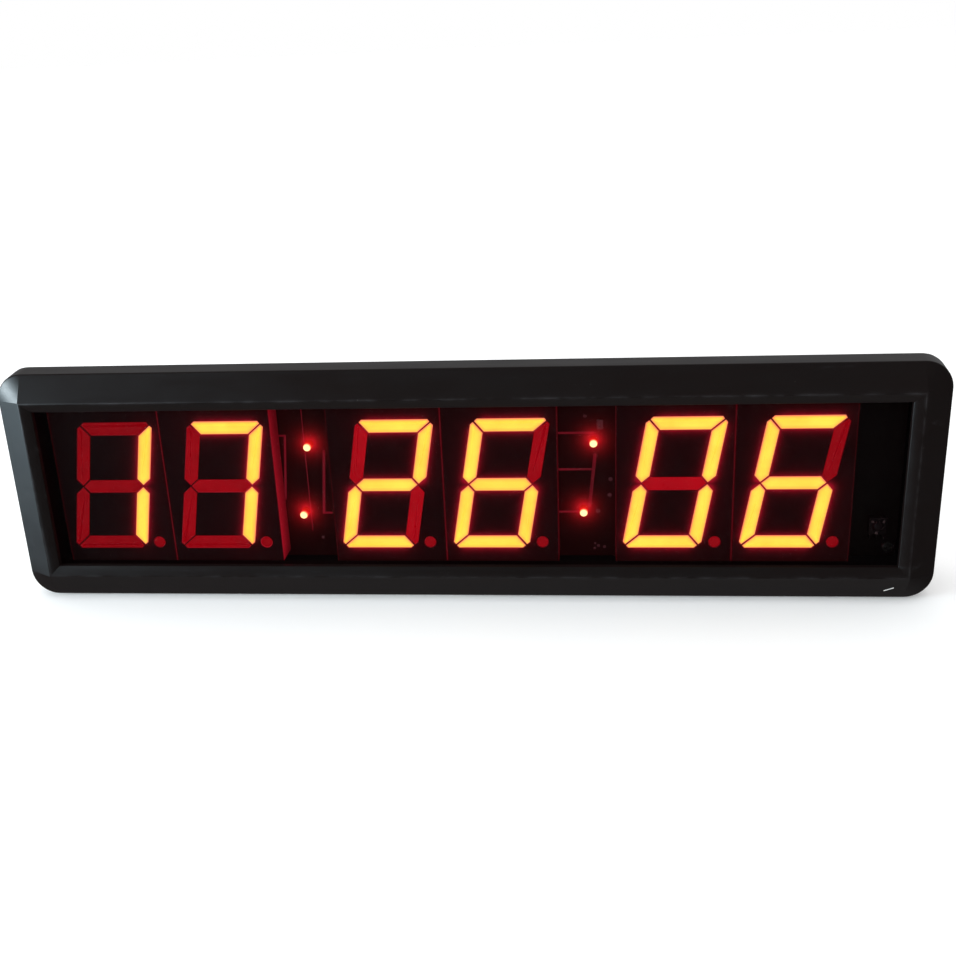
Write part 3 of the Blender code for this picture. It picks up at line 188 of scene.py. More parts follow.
def roundedBlock(name, low, high, axis, radius, segments, look=None):
    return roundEdges(block(name, low, high, look), along(axis), radius, segments)


def modify(piece, kind, **settings):
    only(piece)
    modifier = piece.modifiers.new(kind.lower(), kind)
    for key, value in settings.items():
        setattr(modifier, key, value)
    bpy.ops.object.modifier_apply(modifier=modifier.name)
    return piece


def cut(piece, cutter, kind="DIFFERENCE"):
    modify(piece, "BOOLEAN", operation=kind, object=cutter, solver="EXACT")
    bpy.data.objects.remove(cutter)
    return piece


def shadeSoft(piece, angle=35):
    only(piece)
    bpy.ops.object.shade_smooth_by_angle(angle=radians(angle))
    return modify(
        piece, "WEIGHTED_NORMAL", mode="FACE_AREA_WITH_ANGLE", weight=60, keep_sharp=True)


def softEdges(piece, width, segments=2, angle=40):
    modify(
        piece, "BEVEL", width=width, segments=segments, limit_method="ANGLE",
        angle_limit=radians(angle), use_clamp_overlap=True)
    editAll(piece, "VERT")  # bevels that meet leave faces with no height
    bpy.ops.mesh.remove_doubles(threshold=touching)
    leave()
    return shadeSoft(piece, angle)


def joined(pieces, name, look=None):
    bpy.ops.object.select_all(action="DESELECT")
    for piece in pieces:
        piece.select_set(True)
    bpy.context.view_layer.objects.active = pieces[0]
    bpy.ops.object.join()
    piece = named(bpy.context.object, name)
    return paint(piece, look) if look else piece


def copyTo(piece, name, matrix):
    twin = piece.copy()
    twin.data = piece.data.copy()
    bpy.context.collection.objects.link(twin)
    twin.data.transform(matrix)
    return named(twin, name)


def cleanCopy(node, name, look, width, angle=40):
    # a merged copy of a CAD node, with its edges softened
    piece = frame["nodes"][node].copy()
    piece.data = piece.data.copy()
    bpy.context.collection.objects.link(piece)
    piece.parent = None
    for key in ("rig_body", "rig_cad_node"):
        if key in piece:
            del piece[key]
    editAll(piece, "VERT")
    bpy.ops.mesh.remove_doubles(threshold=touching)
    bpy.ops.mesh.dissolve_limited(angle_limit=radians(1))
    leave()
    finishPlace(piece, name, look)
    return softEdges(piece, width, 2, angle)


def mount(piece, slot, *nodes, body="housing"):
    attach(piece, body)
    if nodes:
        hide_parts(*nodes)
    return piece


class Wire:
    # a socket that takes arithmetic: each operator adds a Math node
    def __init__(self, shade, socket):
        self.shade = shade
        self.socket = socket

    def maths(self, operation, *others):
        return self.shade.node("ShaderNodeMath", {"operation": operation}, [self, *others])

    def __add__(self, other):
        return self.maths("ADD", other)

    __radd__ = __add__

    def __mul__(self, other):
        return self.maths("MULTIPLY", other)

    __rmul__ = __mul__

    def __sub__(self, other):
        return self.maths("SUBTRACT", other)

    def __rsub__(self, other):
        return self.shade.node("ShaderNodeMath", {"operation": "SUBTRACT"}, [other, self])

    def __truediv__(self, other):
        return self.maths("DIVIDE", other)

    def __pow__(self, other):
        return self.maths("POWER", other)

    def __abs__(self):
        return self.maths("ABSOLUTE")

    def most(self, other):
        return self.maths("MAXIMUM", other)

    def least(self, other):
        return self.maths("MINIMUM", other)

    def falling(self, reach):
        return (self / -reach).maths("EXPONENT")

    def held(self):
        return self.most(0).least(1)

    def ramp(self, low, high, outLow=0.0, outHigh=1.0):
        return self.shade.node(
            "ShaderNodeMapRange", {"clamp": True}, [self, low, high, outLow, outHigh])


class Shade:
    # one material: a Principled surface, and one method for every other node
    def __init__(self, name, **plain):
        self.material = bpy.data.materials.new(name)
        self.material.use_nodes = True
        self.tree = self.material.node_tree
        self.surface = self.tree.nodes["Principled BSDF"]
        self.end = self.tree.nodes["Material Output"]
        for key, value in plain.items():
            self.set(key.replace("_", " "), value)

    def feed(self, target, value):
        if isinstance(value, Wire):
            self.tree.links.new(value.socket, target)
        elif hasattr(value, "__len__") and len(value) == 3 and len(target.default_value) == 4:
            target.default_value = (*value, 1)
        else:
            target.default_value = value

    def set(self, socket, value):
        self.feed(self.surface.inputs[socket], value)

    def node(self, kind, settings=None, sockets=(), out=0):
        made = self.tree.nodes.new(kind)
        for key, value in (settings or {}).items():
            setattr(made, key, value)
        pairs = sockets.items() if isinstance(sockets, dict) else enumerate(sockets)
        for key, value in pairs:
            self.feed(made.inputs[key], value)
        return Wire(self, made.outputs[out])

    def place(self):
        return self.node("ShaderNodeTexCoord", out="Object")

    def parts(self, vector):
        split = self.node("ShaderNodeSeparateXYZ", None, [vector]).socket.node
        return [Wire(self, split.outputs[i]) for i in range(3)]

    def axes(self):
        return self.parts(self.place())

    def facing(self):
        return self.parts(self.node("ShaderNodeNewGeometry", out="Normal"))

    def noise(self, scale, detail=3, rough=0.55, stretch=None):
        where = self.place()
        if stretch:
            where = self.node("ShaderNodeMapping", None, {"Vector": where, "Scale": stretch})
        return self.node("ShaderNodeTexNoise", None, {
            "Vector": where, "Scale": scale, "Detail": detail, "Roughness": rough})

    def cells(self, scale):
        return self.node(
            "ShaderNodeTexVoronoi", {"feature": "F1"}, {"Vector": self.place(), "Scale": scale})

    def blend(self, share, first, second):
        return self.node(
            "ShaderNodeMix", {"data_type": "RGBA"}, {0: share, 6: first, 7: second}, out=2)

    def tinted(self, colour, amount):
        # a colour scaled by a value
        return self.node(
            "ShaderNodeVectorMath", {"operation": "SCALE"}, {0: colour, "Scale": amount})

    def bump(self, height, distance, strength):
        self.set("Normal", self.node("ShaderNodeBump", None, {
            "Height": height, "Distance": distance, "Strength": strength}))

    def over(self, first, second, share):
        # two shaders mixed by a share, straight to the output
        mixed = self.node("ShaderNodeMixShader", None, [share, first, second])
        self.tree.links.new(mixed.socket, self.end.inputs["Surface"])


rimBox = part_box("front_frame")
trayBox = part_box("rear_tray")
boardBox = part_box("main_board")
digitBoxes = [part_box(f"digit_{number}_shell") for number in range(1, 7)]
digitCentres = [(low.x + high.x) / 2 for low, high in digitBoxes]
faceY = digitBoxes[0][0].y
ledBoxes = [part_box(f"colon_led_{number}") for number in range(1, 5)]
ledPlaces = [((low.x + high.x) / 2, (low.z + high.z) / 2) for low, high in ledBoxes]

character = {  # one module's lit shapes, and the resin behind them
    "width": 32.5 * mm, "height": 57.8 * mm, "stroke": 5.6 * mm, "gap": 0.5 * mm,
    "cornerCut": 2.4 * mm, "slant": tan(radians(9.9)), "depth": 2.2 * mm, "round": 0.22 * mm,
    "sunk": 0.1 * mm, "pointX": 17 * mm, "pointZ": -26.2 * mm, "pointRadius": 2.35 * mm,
    "pointGlow": 0.62, "pottingFront": 9.9 * mm, "pottingEdge": 0.3 * mm, "pottingGlow": 0.5,
    "glowSteps": ((0.2 * mm, 0.55), (1.5 * mm, 1.0)),  # inset from the outline, glow there
}
frontY = faceY + character["sunk"]
shown = ["bc", "abc", "abged", "afgecd", "abcdef", "afgecd"]  # lit strokes
wallGlowShares = [0.45, 1.0, 0.5, 0.3, 0.35, 0.3]  # painted red glow in each module's side walls
darkGlowShares = [0.58, 0.72, 0.95, 0.8, 1.05, 0.66]  # and painted red glow in its unlit strokes


def tone(colour, share):
    return tuple(share * c for c in colour)


def barGlow(shade, x, z, first, last, thick, reach):
    # 1 inside a straight bar from first to last, falling outside it
    fx, fz = first
    dx, dz = last[0] - fx, last[1] - fz
    size = dx * dx + dz * dz
    share = (((x - fx) * dx + (z - fz) * dz) / size).held()
    awayX = x - fx - share * dx
    awayZ = z - fz - share * dz
    away = (awayX * awayX + awayZ * awayZ) ** 0.5
    return (away - thick / 2).most(0).falling(reach)


def frameBlack():
    # semi-matt moulding: fine grain, wear with a painted highlight along the ridge, a few scuffs
    # and a nick
    look = {
        # the base black is warmed red: painted red light from the digits
        "base": (0.0062, 0.0030, 0.0027), "wornAndGleam": (0.05, 0.05, 0.055),
        "speck": (0.25, 0.24, 0.23), "bare": (0.85, 0.85, 0.83), "rough": 0.36,
        "ridgeX": 0.18335, "ridgeZ": 0.0395, "ridgeWearAndGleamReach": 0.35 * mm,
        "nickFrom": (0.1748, -0.0468), "nickTo": (0.1782, -0.0452),
        "nickWidth": 0.35 * mm, "nickFade": 0.05 * mm, "grainDepth": 0.03 * mm,
    }
    shade = Shade("frame_black", Specular_IOR_Level=0.5)
    x, _, z = shade.axes()
    off = abs((abs(x) - look["ridgeX"]).most(abs(z) - look["ridgeZ"]))
    broad = shade.noise(18, 4)
    scuffs = shade.noise(140, 6, 0.75, (0.12, 1, 1)).ramp(0.62, 0.74)
    # lighter along the ridge: edge wear, and a painted highlight
    ridgeWearAndGleam = off.falling(look["ridgeWearAndGleamReach"]) * shade.noise(120, 4).ramp(0.42, 0.7)
    specks = shade.cells(420).ramp(0.035, 0.06, 1, 0) * shade.noise(35, 2).ramp(0.6, 0.66)
    nick = barGlow(
        shade, x, z, look["nickFrom"], look["nickTo"], look["nickWidth"], look["nickFade"])
    base = shade.blend(broad, tone(look["base"], 0.8), tone(look["base"], 1.3))
    base = shade.blend(scuffs * 0.25 + ridgeWearAndGleam * 0.5, base, look["wornAndGleam"])
    base = shade.blend(specks * 0.6, base, look["speck"])
    shade.set("Base Color", shade.blend(nick.held(), base, look["bare"]))
    rough = shade.noise(70, 5, 0.7, (0.2, 1, 1)).ramp(
        0.3, 0.7, look["rough"] - 0.05, look["rough"] + 0.08)
    shade.set("Roughness", rough + scuffs * 0.08)
    shade.bump(shade.noise(2200, 2, 0.6) + scuffs * -0.5, look["grainDepth"], 0.35)
    return shade.material


def strokeBars():
    # middle line of each stroke, upright, about the character's middle
    w = (character["width"] - character["stroke"]) / 2
    h = (character["height"] - character["stroke"]) / 2
    e = character["stroke"] / 2 + character["gap"]
    return {
        "a": ((-w + e, h), (w - e, h)), "g": ((-w + e, 0), (w - e, 0)),
        "d": ((-w + e, -h), (w - e, -h)), "f": ((-w, e), (-w, h - e)), "b": ((w, e), (w, h - e)),
        "e": ((-w, -h + e), (-w, -e)), "c": ((w, -h + e), (w, -e)),
    }


def paintedSpill(shade, x, z, letters, reach):
    total = None
    for letter in letters:
        glow = barGlow(shade, x, z, *strokeBars()[letter], character["stroke"], reach)
        total = glow if total is None else total.most(glow)
    return total


def digitFace(number, centre, letters, wallGlowShare):
    # black face ink with a painted red glow round the lit strokes and along the module edges; dark
    # red side walls with a painted red glow
    look = {
        "ink": (0.0048, 0.0038, 0.0042), "wall": (0.06, 0.004, 0.006),
        "paintedSpillRed": (1.0, 0.012, 0.05), "wallGlowRed": (0.40, 0.006, 0.018),
        "nearReach": 0.9 * mm, "farReach": 4.5 * mm, "edgeGlowX": 0.0233, "edgeGlowWidth": 0.4 * mm,
        "wallFade": 20 * mm, "wallEnd": 0.028, "depthFade": 9 * mm, "grainDepth": 0.02 * mm,
    }
    shade = Shade(f"digit_{number}_face", Specular_IOR_Level=0.15, Emission_Strength=1.0)
    caseX, y, z = shade.axes()
    x = caseX - centre - z * character["slant"]
    near = paintedSpill(shade, x, z, letters, look["nearReach"])
    far = paintedSpill(shade, x, z, letters, look["farReach"])
    nx, _, nz = shade.facing()
    side = (abs(nx).most(abs(nz))).ramp(0.4, 0.6)
    mottle = shade.noise(300, 3).ramp(0.2, 0.8, 0.75, 1.2)
    # painted red glow along the module's edges
    rim = abs(x + z * character["slant"]) - look["edgeGlowX"]
    rim = rim.ramp(0, look["edgeGlowWidth"]) * 0.035
    # painted red glow on the face: round the lit strokes, along the module edges, and faintly all
    # over, less at the far left
    glow = near * 0.36 + far * 0.026 + rim + caseX.ramp(-0.17, -0.12, 0.003, 0.008)
    depth = (y - faceY).held().falling(look["depthFade"])
    # painted red glow on the side walls, fading towards the top and bottom and towards the back
    wall = (abs(z) - look["wallEnd"]).most(0).falling(look["wallFade"])
    wall = wall * depth * shade.noise(45, 2).ramp(0.3, 0.7, 0.7, 1.15)
    faceLight = shade.tinted(look["paintedSpillRed"], glow * mottle)
    wallLight = shade.tinted(look["wallGlowRed"], wall * wallGlowShare)
    shade.set("Emission Color", shade.blend(side, faceLight, wallLight))
    shade.set("Base Color", shade.blend(side, look["ink"], look["wall"]))
    shade.set("Roughness", shade.noise(700, 3).ramp(0.2, 0.8, 0.42, 0.6))
    shade.bump(shade.noise(2600, 2), look["grainDepth"], 0.4)
    return shade.material


def litResin():
    # glowing strokes: yellow in the middle, orange-pink at the rim
    shade = Shade("lit_resin", Base_Color=(0.25, 0.05, 0.03), Roughness=0.3, Emission_Strength=1.0)
    core = shade.node("ShaderNodeAttribute", {"attribute_name": "glow"}, out="Fac")
    patch = shade.noise(95, 3, 0.6).ramp(0.3, 0.7)
    middle = shade.blend(patch, (1.5, 0.92, 0.078), (1.5, 1.12, 0.11))
    outer = shade.blend(patch, (1.5, 0.66, 0.09), (1.5, 0.82, 0.10))
    inner = shade.blend(core.ramp(0.5, 0.95), outer, middle)
    shade.set("Emission Color", shade.blend(core.ramp(0.0, 0.5), (1.5, 0.36, 0.15), inner))
    shade.set("Base Color", shade.blend(patch, (0.22, 0.04, 0.03), (0.28, 0.06, 0.03)))
    return shade.material


def darkResin():
    # unlit strokes: red resin with a painted red glow, as if lit a little from inside by its
    # neighbours
    shade = Shade("dark_resin", Specular_IOR_Level=0.12, Emission_Strength=1.0)
    share = shade.node("ShaderNodeAttribute", {"attribute_name": "glow"}, out="Fac")
    patch = shade.noise(120, 4).ramp(0.25, 0.75)
    shade.set("Base Color", shade.blend(patch, (0.10, 0.001, 0.0025), (0.15, 0.0015, 0.0035)))
    lit = share * patch.ramp(0, 1, 0.86, 1.1)
    shade.set("Emission Color", shade.tinted((0.46, 0.0015, 0.008), lit))
    shade.set("Roughness", shade.noise(900, 2).ramp(0.3, 0.7, 0.26, 0.4))
    return shade.material


def smokedPane():
    # smoked acrylic: thin black tint, weak gloss, faint smears and dust
    shade = Shade("smoked_pane", Specular_IOR_Level=0.5)
    smear = shade.noise(30, 4, 0.6, (1, 1, 0.4)).ramp(0.45, 0.75)
    dust = shade.cells(500).ramp(0.03, 0.05, 1, 0) * shade.noise(40, 2).ramp(0.58, 0.64)
    shine = shade.node("ShaderNodeFresnel", None, {"IOR": 1.45})
    shade.set("Base Color", shade.blend(dust, (0.004, 0.002, 0.002), (0.2, 0.18, 0.17)))
    shade.set("Roughness", smear * 0.12 + 0.04)
    shade.set("Alpha", (shine * 0.6 + 0.12 + smear * 0.015 + dust * 0.3).held())
    return shade.material


def ledDistance(x, z, place):
    offX, offZ = x - place[0], z - place[1]
    return (offX * offX + offZ * offZ) ** 0.5


def ledDome():
    # colon LED: white-hot chip behind the tip, red dome and skirt
    look = {
        "red": (1.5, 0.02, 0.015), "hot": (2.4, 1.7, 0.75), "chip": (1.3 * mm, 1.75 * mm),
        "chipDepth": (1.2 * mm, 2.2 * mm), "skirt": (1.5 * mm, 6 * mm),
    }
    shade = Shade("led_dome", Roughness=0.15, Emission_Strength=1.0)
    x, y, z = shade.axes()
    back = y - ledBoxes[0][0].y
    hot = None
    for place in ledPlaces:
        here = ledDistance(x, z, place).ramp(*look["chip"], 1, 0)
        hot = here if hot is None else hot.most(here)
    hot = hot * back.ramp(*look["chipDepth"], 1, 0)
    low = back.ramp(*look["skirt"], 0.8, 0.2)
    grain = shade.noise(800, 2).ramp(0.3, 0.7, 0.9, 1.05)
    shade.set(
        "Emission Color", shade.blend(hot, shade.tinted(look["red"], low * grain), look["hot"]))
    shade.set("Base Color", shade.blend(grain, (0.5, 0.02, 0.02), (0.6, 0.03, 0.02)))
    return shade.material


def boardMask(name, base, lift, paintedGlowHue):
    # dark solder mask, with a painted red glow round the colon LEDs and a painted glow in its own
    # hue on the front
    look = {
        "red": (1.0, 0.012, 0.022), "core": 1.5 * mm, "nearReach": 2.0 * mm,
        "farReach": 4 * mm, "weaveDepth": 0.02 * mm,
    }
    shade = Shade(name, Specular_IOR_Level=0.4, Emission_Strength=1.0)
    x, _, z = shade.axes()
    # painted red glow round the colon LEDs
    glow = None
    for place in ledPlaces:
        here = (ledDistance(x, z, place) - look["core"]).most(0)
        here = here.falling(look["nearReach"]) + here.falling(look["farReach"]) * 0.08
        glow = here if glow is None else glow + here
    weave = shade.noise(1400, 2, 0.5, (1, 1, 0.25)) + shade.noise(1400, 2, 0.5, (0.25, 1, 1))
    shade.set("Base Color", shade.blend(weave.ramp(0.8, 1.2), tone(base, 0.8), tone(base, 1.2)))
    patch = shade.noise(60, 2).ramp(0.3, 0.7, 0.65, 1.25) * abs(x).ramp(0.13, 0.16, 1, 0.08)
    front = shade.facing()[1].ramp(-0.6, -0.3, 1, 0)
    red = shade.tinted(look["red"], glow * 0.85 * weave.ramp(0.7, 1.3, 0.85, 1.1) * front)
    # painted glow on the front faces, strongest on tracks and pads, fading towards the ends
    paintedOwnGlow = shade.tinted(paintedGlowHue, patch * lift * front)
    shade.set("Emission Color", shade.node(
        "ShaderNodeVectorMath", {"operation": "ADD"}, [red, paintedOwnGlow]))
    shade.set("Roughness", weave.ramp(0.7, 1.3, 0.32, 0.45))
    shade.bump(weave, look["weaveDepth"], 0.3)
    return shade.material


def metal(name, colour, rough, brush=(1, 1, 0.1)):
    shade = Shade(name, Metallic=1.0)
    marks = shade.noise(900, 4, 0.7, brush)
    tarnish = shade.noise(160, 4).ramp(0.35, 0.75)
    shade.set("Base Color", shade.blend(tarnish, colour, tone(colour, 0.72)))
    shade.set("Roughness", marks.ramp(0.3, 0.7, rough - 0.06, rough + 0.1))
    shade.bump(marks, 0.01 * mm, 0.3)
    return shade.material


def plainPlastic(name, colour, rough, grain=1600, depth=0.02 * mm):
    shade = Shade(name)
    grime = shade.noise(260, 4).ramp(0.55, 0.8)
    base = shade.blend(shade.noise(80, 4), tone(colour, 0.88), tone(colour, 1.1))
    shade.set("Base Color", shade.blend(grime * 0.25, base, tone(colour, 0.5)))
    shade.set("Roughness", shade.noise(300, 4).ramp(0.3, 0.7, rough - 0.05, rough + 0.08))
    shade.bump(shade.noise(grain, 2), depth, 0.4)
    return shade.material


def moulded(name, base, rough):
    # coarse spark-eroded texture of a rear moulding
    shade = Shade(name, Specular_IOR_Level=0.45)
    dust = shade.noise(45, 5, 0.7).ramp(0.5, 0.85)
    pits = shade.cells(1500)
    plain = shade.blend(shade.noise(14, 4), tone(base, 0.85), tone(base, 1.2))
    shade.set("Base Color", shade.blend(dust * 0.12, plain, (0.07, 0.068, 0.065)))
    shade.set("Roughness", pits.ramp(0, 0.6, rough - 0.06, rough + 0.1))
    shade.bump(pits + shade.noise(3200, 2) * 0.5, 0.06 * mm, 0.55)
    return shade.material


finish = {
    "frame": frameBlack(),
    "tray": moulded("tray_black", (0.014, 0.014, 0.015), 0.55),
    "pane": smokedPane(),
    "lit": litResin(),
    "dark": darkResin(),
    "led": ledDome(),
    # the last two values: strength and hue of a painted glow
    "board": boardMask("board_mask", (0.003, 0.0042, 0.0036), 0.007, (1.0, 0.012, 0.05)),
    "track": boardMask("board_track", (0.02, 0.008, 0.009), 0.145, (1.0, 0.025, 0.075)),
    "pads": boardMask("board_pads", (0.05, 0.03, 0.032), 0.04, (1.0, 0.2, 0.3)),
    # pale pink: painted glints on the receiver's lugs
    "glintLug": plainPlastic("painted_glint_lug", (0.14, 0.085, 0.09), 0.35),
    "zinc": metal("screw_zinc", (0.46, 0.45, 0.42), 0.32),
    "nickel": metal("bright_nickel", (0.66, 0.64, 0.6), 0.22),
    "nylon": plainPlastic("black_nylon", (0.012, 0.012, 0.0125), 0.3),
    "chip": plainPlastic("chip_black", (0.018, 0.018, 0.02), 0.5),
    "lens": plainPlastic("receiver_epoxy", (0.012, 0.007, 0.008), 0.12, 500),
    "key": plainPlastic("key_grey", (0.42, 0.42, 0.4), 0.42),
    "print": plainPlastic("white_print", (0.62, 0.62, 0.6), 0.55, 3000, 0.005 * mm),
    "sleeve": plainPlastic("sleeve_blue", (0.02, 0.04, 0.16), 0.35),
    "redLead": plainPlastic("lead_red", (0.42, 0.015, 0.015), 0.4),
    "blackLead": plainPlastic("lead_black", (0.012, 0.012, 0.012), 0.4),
    "green": plainPlastic("board_green", (0.012, 0.07, 0.028), 0.35),
}
for number, (centre, letters) in enumerate(zip(digitCentres, shown), 1):
    finish[f"face{number}"] = digitFace(number, centre, letters, wallGlowShares[number - 1])
print("materials made")


rim = {
    "slopeRun": 11.4 * mm, "slopeDrop": 6 * mm, "sideDraft": 0.5 * mm, "innerRun": 4.15 * mm,
    "innerDrop": 2.2 * mm, "throat": 2.2 * mm, "wall": 2.2 * mm, "edge": 0.55 * mm,
    "cornerSteps": 14, "cornerCatch": 2 * mm, "loopCatch": 2e-6, "outerSlack": 0.3 * mm,
    "cornerReach": 7.5 * mm, "ridgeLine": 0.02 * mm, "flat": 0.01 * mm,
    # where a slope's end edges lie, and how far off the corner they may be
    "footY": -34.5 * mm, "headY": -37.5 * mm, "headZ": 38.5 * mm,
    "footSlack": 0.3 * mm, "headSlack": 0.8 * mm, "shortest": 1 * mm,
}


def onOutline(p):
    # the rim's outer outline, and not the wall inside it
    reach = rimBox[1].x - rim["outerSlack"]
    height = rimBox[1].z - rim["outerSlack"]
    corner = reach + rimBox[1].z - rim["cornerReach"]
    return abs(p.x) > reach or abs(p.z) > height or abs(p.x) + abs(p.z) > corner


def slopeEnd(a, b, axis, place):
    # an edge down a slope, where the slope meets the corner fan
    other = 2 - axis
    head, foot = sorted((a, b), key=lambda p: abs(p[other]))
    if foot.y > rim["footY"] or head.y > rim["headY"] or abs(head[other]) < rim["headZ"]:
        return False
    return (abs(abs(foot[axis]) - place) < rim["footSlack"]
            and abs(abs(head[axis]) - place) < rim["headSlack"]
            and abs(foot[other]) - abs(head[other]) > rim["shortest"])


def buildFrame():
    ridgeY, backY = rimBox[0].y, rimBox[1].y
    halfX, halfZ = rimBox[1].x - rim["sideDraft"], rimBox[1].z - rim["sideDraft"]
    ridgeX, ridgeZ = halfX - rim["slopeRun"], halfZ - rim["slopeRun"]
    slopeY, throatY = ridgeY + rim["slopeDrop"], ridgeY + rim["innerDrop"]
    bpy.ops.mesh.primitive_plane_add(size=2, location=(0, slopeY, 0), rotation=(pi / 2, 0, 0))
    piece = bpy.context.object
    piece.scale = (halfX, halfZ, 1)
    finishPlace(piece, "case_front", "frame")
    editAll(piece, "VERT")
    bpy.ops.mesh.bevel(
        offset=rim["slopeRun"], offset_type="OFFSET", segments=rim["cornerSteps"],
        profile=0.5, affect="VERTICES")
    leave()
    editAll(piece)
    bpy.ops.mesh.inset(
        thickness=rim["slopeRun"] - rim["ridgeLine"], depth=rim["slopeDrop"],
        use_boundary=True, use_even_offset=True)
    leave()
    for signX in (-1, 1):  # each corner of the ridge comes to one point
        for signZ in (-1, 1):
            corner = Vector((signX * ridgeX, ridgeY, signZ * ridgeZ))
            pickVerts(piece, lambda v: (v - corner).length < rim["cornerCatch"])
            bpy.ops.mesh.merge(type="CENTER")
            bm = bmesh.from_edit_mesh(piece.data)
            spot = next(v.co.copy() for v in bm.verts if v.select)
            bpy.ops.transform.translate(value=corner - spot)
            leave()
    pickFaces(piece, lambda c, n: abs(c.y - ridgeY) < rim["flat"])
    bpy.ops.mesh.inset(
        thickness=rim["innerRun"], depth=-rim["innerDrop"],
        use_boundary=True, use_even_offset=True)
    extrude(y=rim["throat"])
    bpy.ops.mesh.delete(type="FACE")
    leave()
    pickEdges(piece, across(1, slopeY))  # the side walls
    extrude(y=backY - slopeY)
    bpy.ops.transform.resize(value=(rimBox[1].x / halfX, 1, rimBox[1].z / halfZ))
    leave()
    editAll(piece)
    bpy.ops.mesh.normals_make_consistent(inside=False)
    leave()
    modify(piece, "SOLIDIFY", thickness=rim["wall"], offset=-1, use_even_offset=True)
    for loopY, share in ((ridgeY, 1), (slopeY, 1), (throatY, 0.6)):
        roundEdges(piece, across(1, loopY, rim["loopCatch"]), rim["edge"] * share, 3)
    atBack = across(1, backY, rim["loopCatch"])
    roundEdges(
        piece, lambda a, b: atBack(a, b) and onOutline(a) and onOutline(b), rim["edge"] * 0.5, 3)
    # the slopes stay flat up to the fan at each corner
    pickEdges(piece, lambda a, b: slopeEnd(a, b, 0, ridgeX) or slopeEnd(a, b, 2, ridgeZ))
    bpy.ops.mesh.mark_sharp()
    leave()
    mount(shadeSoft(piece, 30), "case_black", "front_frame")


buildFrame()
paint(frame["nodes"]["window_lens"], "pane")
print("front frame and window made")


def strokePlanes():
    # each stroke as a block, with the planes that cut its mitres: normal x, normal z, reach
    w, h = character["width"] / 2, character["height"] / 2
    t, gap, corner = character["stroke"], character["gap"], character["cornerCut"]
    half = t / 2
    outside = w + h - corner - gap / 2
    top = {"low": (-w, h - t), "high": (w, h), "cuts": [
        (-1, -1, w - h - gap), (1, -1, w - h - gap), (-1, 1, outside), (1, 1, outside)]}
    left = {"low": (-w, gap), "high": (-w + t, h), "cuts": [
        (1, 1, -w + h - gap), (-1, 1, outside),
        (-1, -1, w - half - gap), (1, -1, -w + half - gap)]}
    middle = {"low": (-w + half + gap, -half), "high": (w - half - gap, half), "cuts": [
        (sx, sz, w - half - gap) for sx in (-1, 1) for sz in (-1, 1)]}
    return {"a": (top, 1, 1), "d": (top, 1, -1), "g": (middle, 1, 1), "f": (left, 1, 1),
            "b": (left, -1, 1), "e": (left, 1, -1), "c": (left, -1, -1)}


def softFront(piece):
    # rounds the front outline and marks how far in a point is, for the glow
    roundEdges(piece, across(1, frontY), character["round"], 2)
    piece.data.attributes.new("glow", "FLOAT", "POINT")
    pickFaces(piece, lambda c, n: n.y < -0.99)
    leave()
    for inset, value in character["glowSteps"]:
        bpy.ops.object.mode_set(mode="EDIT")
        bpy.ops.mesh.inset(thickness=inset, use_even_offset=True)
        leave()
        glow = piece.data.attributes["glow"]
        for polygon in piece.data.polygons:
            if polygon.select:
                for index in polygon.vertices:
                    glow.data[index].value = value
    return piece


def evenGlow(piece, share):
    attributes = piece.data.attributes
    glow = attributes.get("glow") or attributes.new("glow", "FLOAT", "POINT")
    for item in glow.data:
        item.value = share
    return piece


def buildStroke(letter):
    plan, flipX, flipZ = strokePlanes()[letter]
    xs = sorted((plan["low"][0] * flipX, plan["high"][0] * flipX))
    zs = sorted((plan["low"][1] * flipZ, plan["high"][1] * flipZ))
    backY = frontY + character["depth"]
    piece = block("stroke", (xs[0], frontY, zs[0]), (xs[1], backY, zs[1]))
    for nx, nz, reach in plan["cuts"]:
        normal = Vector((nx * flipX, 0, nz * flipZ)).normalized()
        editAll(piece)
        bpy.ops.mesh.bisect(
            plane_co=normal * reach * sqrt(0.5), plane_no=normal,
            use_fill=True, clear_outer=True)
        leave()
    lean = Matrix.Identity(4)
    lean[0][2] = character["slant"]
    piece.data.transform(lean)
    return softFront(piece)


def buildPoint():
    spot = (character["pointX"], frontY, character["pointZ"])
    return softFront(rod("point", spot, (0, 1, 0), character["depth"], character["pointRadius"]))


def buildPotting(number):
    low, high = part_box(f"digit_{number}_resin")
    slab = block("potting", (low.x, faceY + character["pottingFront"], low.z), high)
    roundEdges(slab, lambda a, b: True, character["pottingEdge"], 2)
    return evenGlow(slab, character["pottingGlow"])


def buildDigits():
    strokes = {letter: buildStroke(letter) for letter in "abcdefg"}
    point = buildPoint()
    for number, (centre, letters) in enumerate(zip(digitCentres, shown), 1):
        move = Matrix.Translation((centre, 0, 0))
        lit = [copyTo(strokes[letter], "lit", move) for letter in letters]
        dark = [evenGlow(copyTo(strokes[letter], "dark", move), darkGlowShares[number - 1])
                for letter in "abcdefg" if letter not in letters]
        dark.append(evenGlow(copyTo(point, "dark", move), character["pointGlow"]))
        dark.append(buildPotting(number))
        litPiece = joined(lit, f"digit_{number}_lit_strokes", "lit")
        darkPiece = joined(dark, f"digit_{number}_resin_cast", "dark")
        mount(shadeSoft(litPiece, 40), "red_resin")
        mount(shadeSoft(darkPiece, 40), "red_resin", f"digit_{number}_resin")
        paint(frame["nodes"][f"digit_{number}_shell"], f"face{number}")
    for piece in (*strokes.values(), point):
        bpy.data.objects.remove(piece)


buildDigits()
print("digits made")


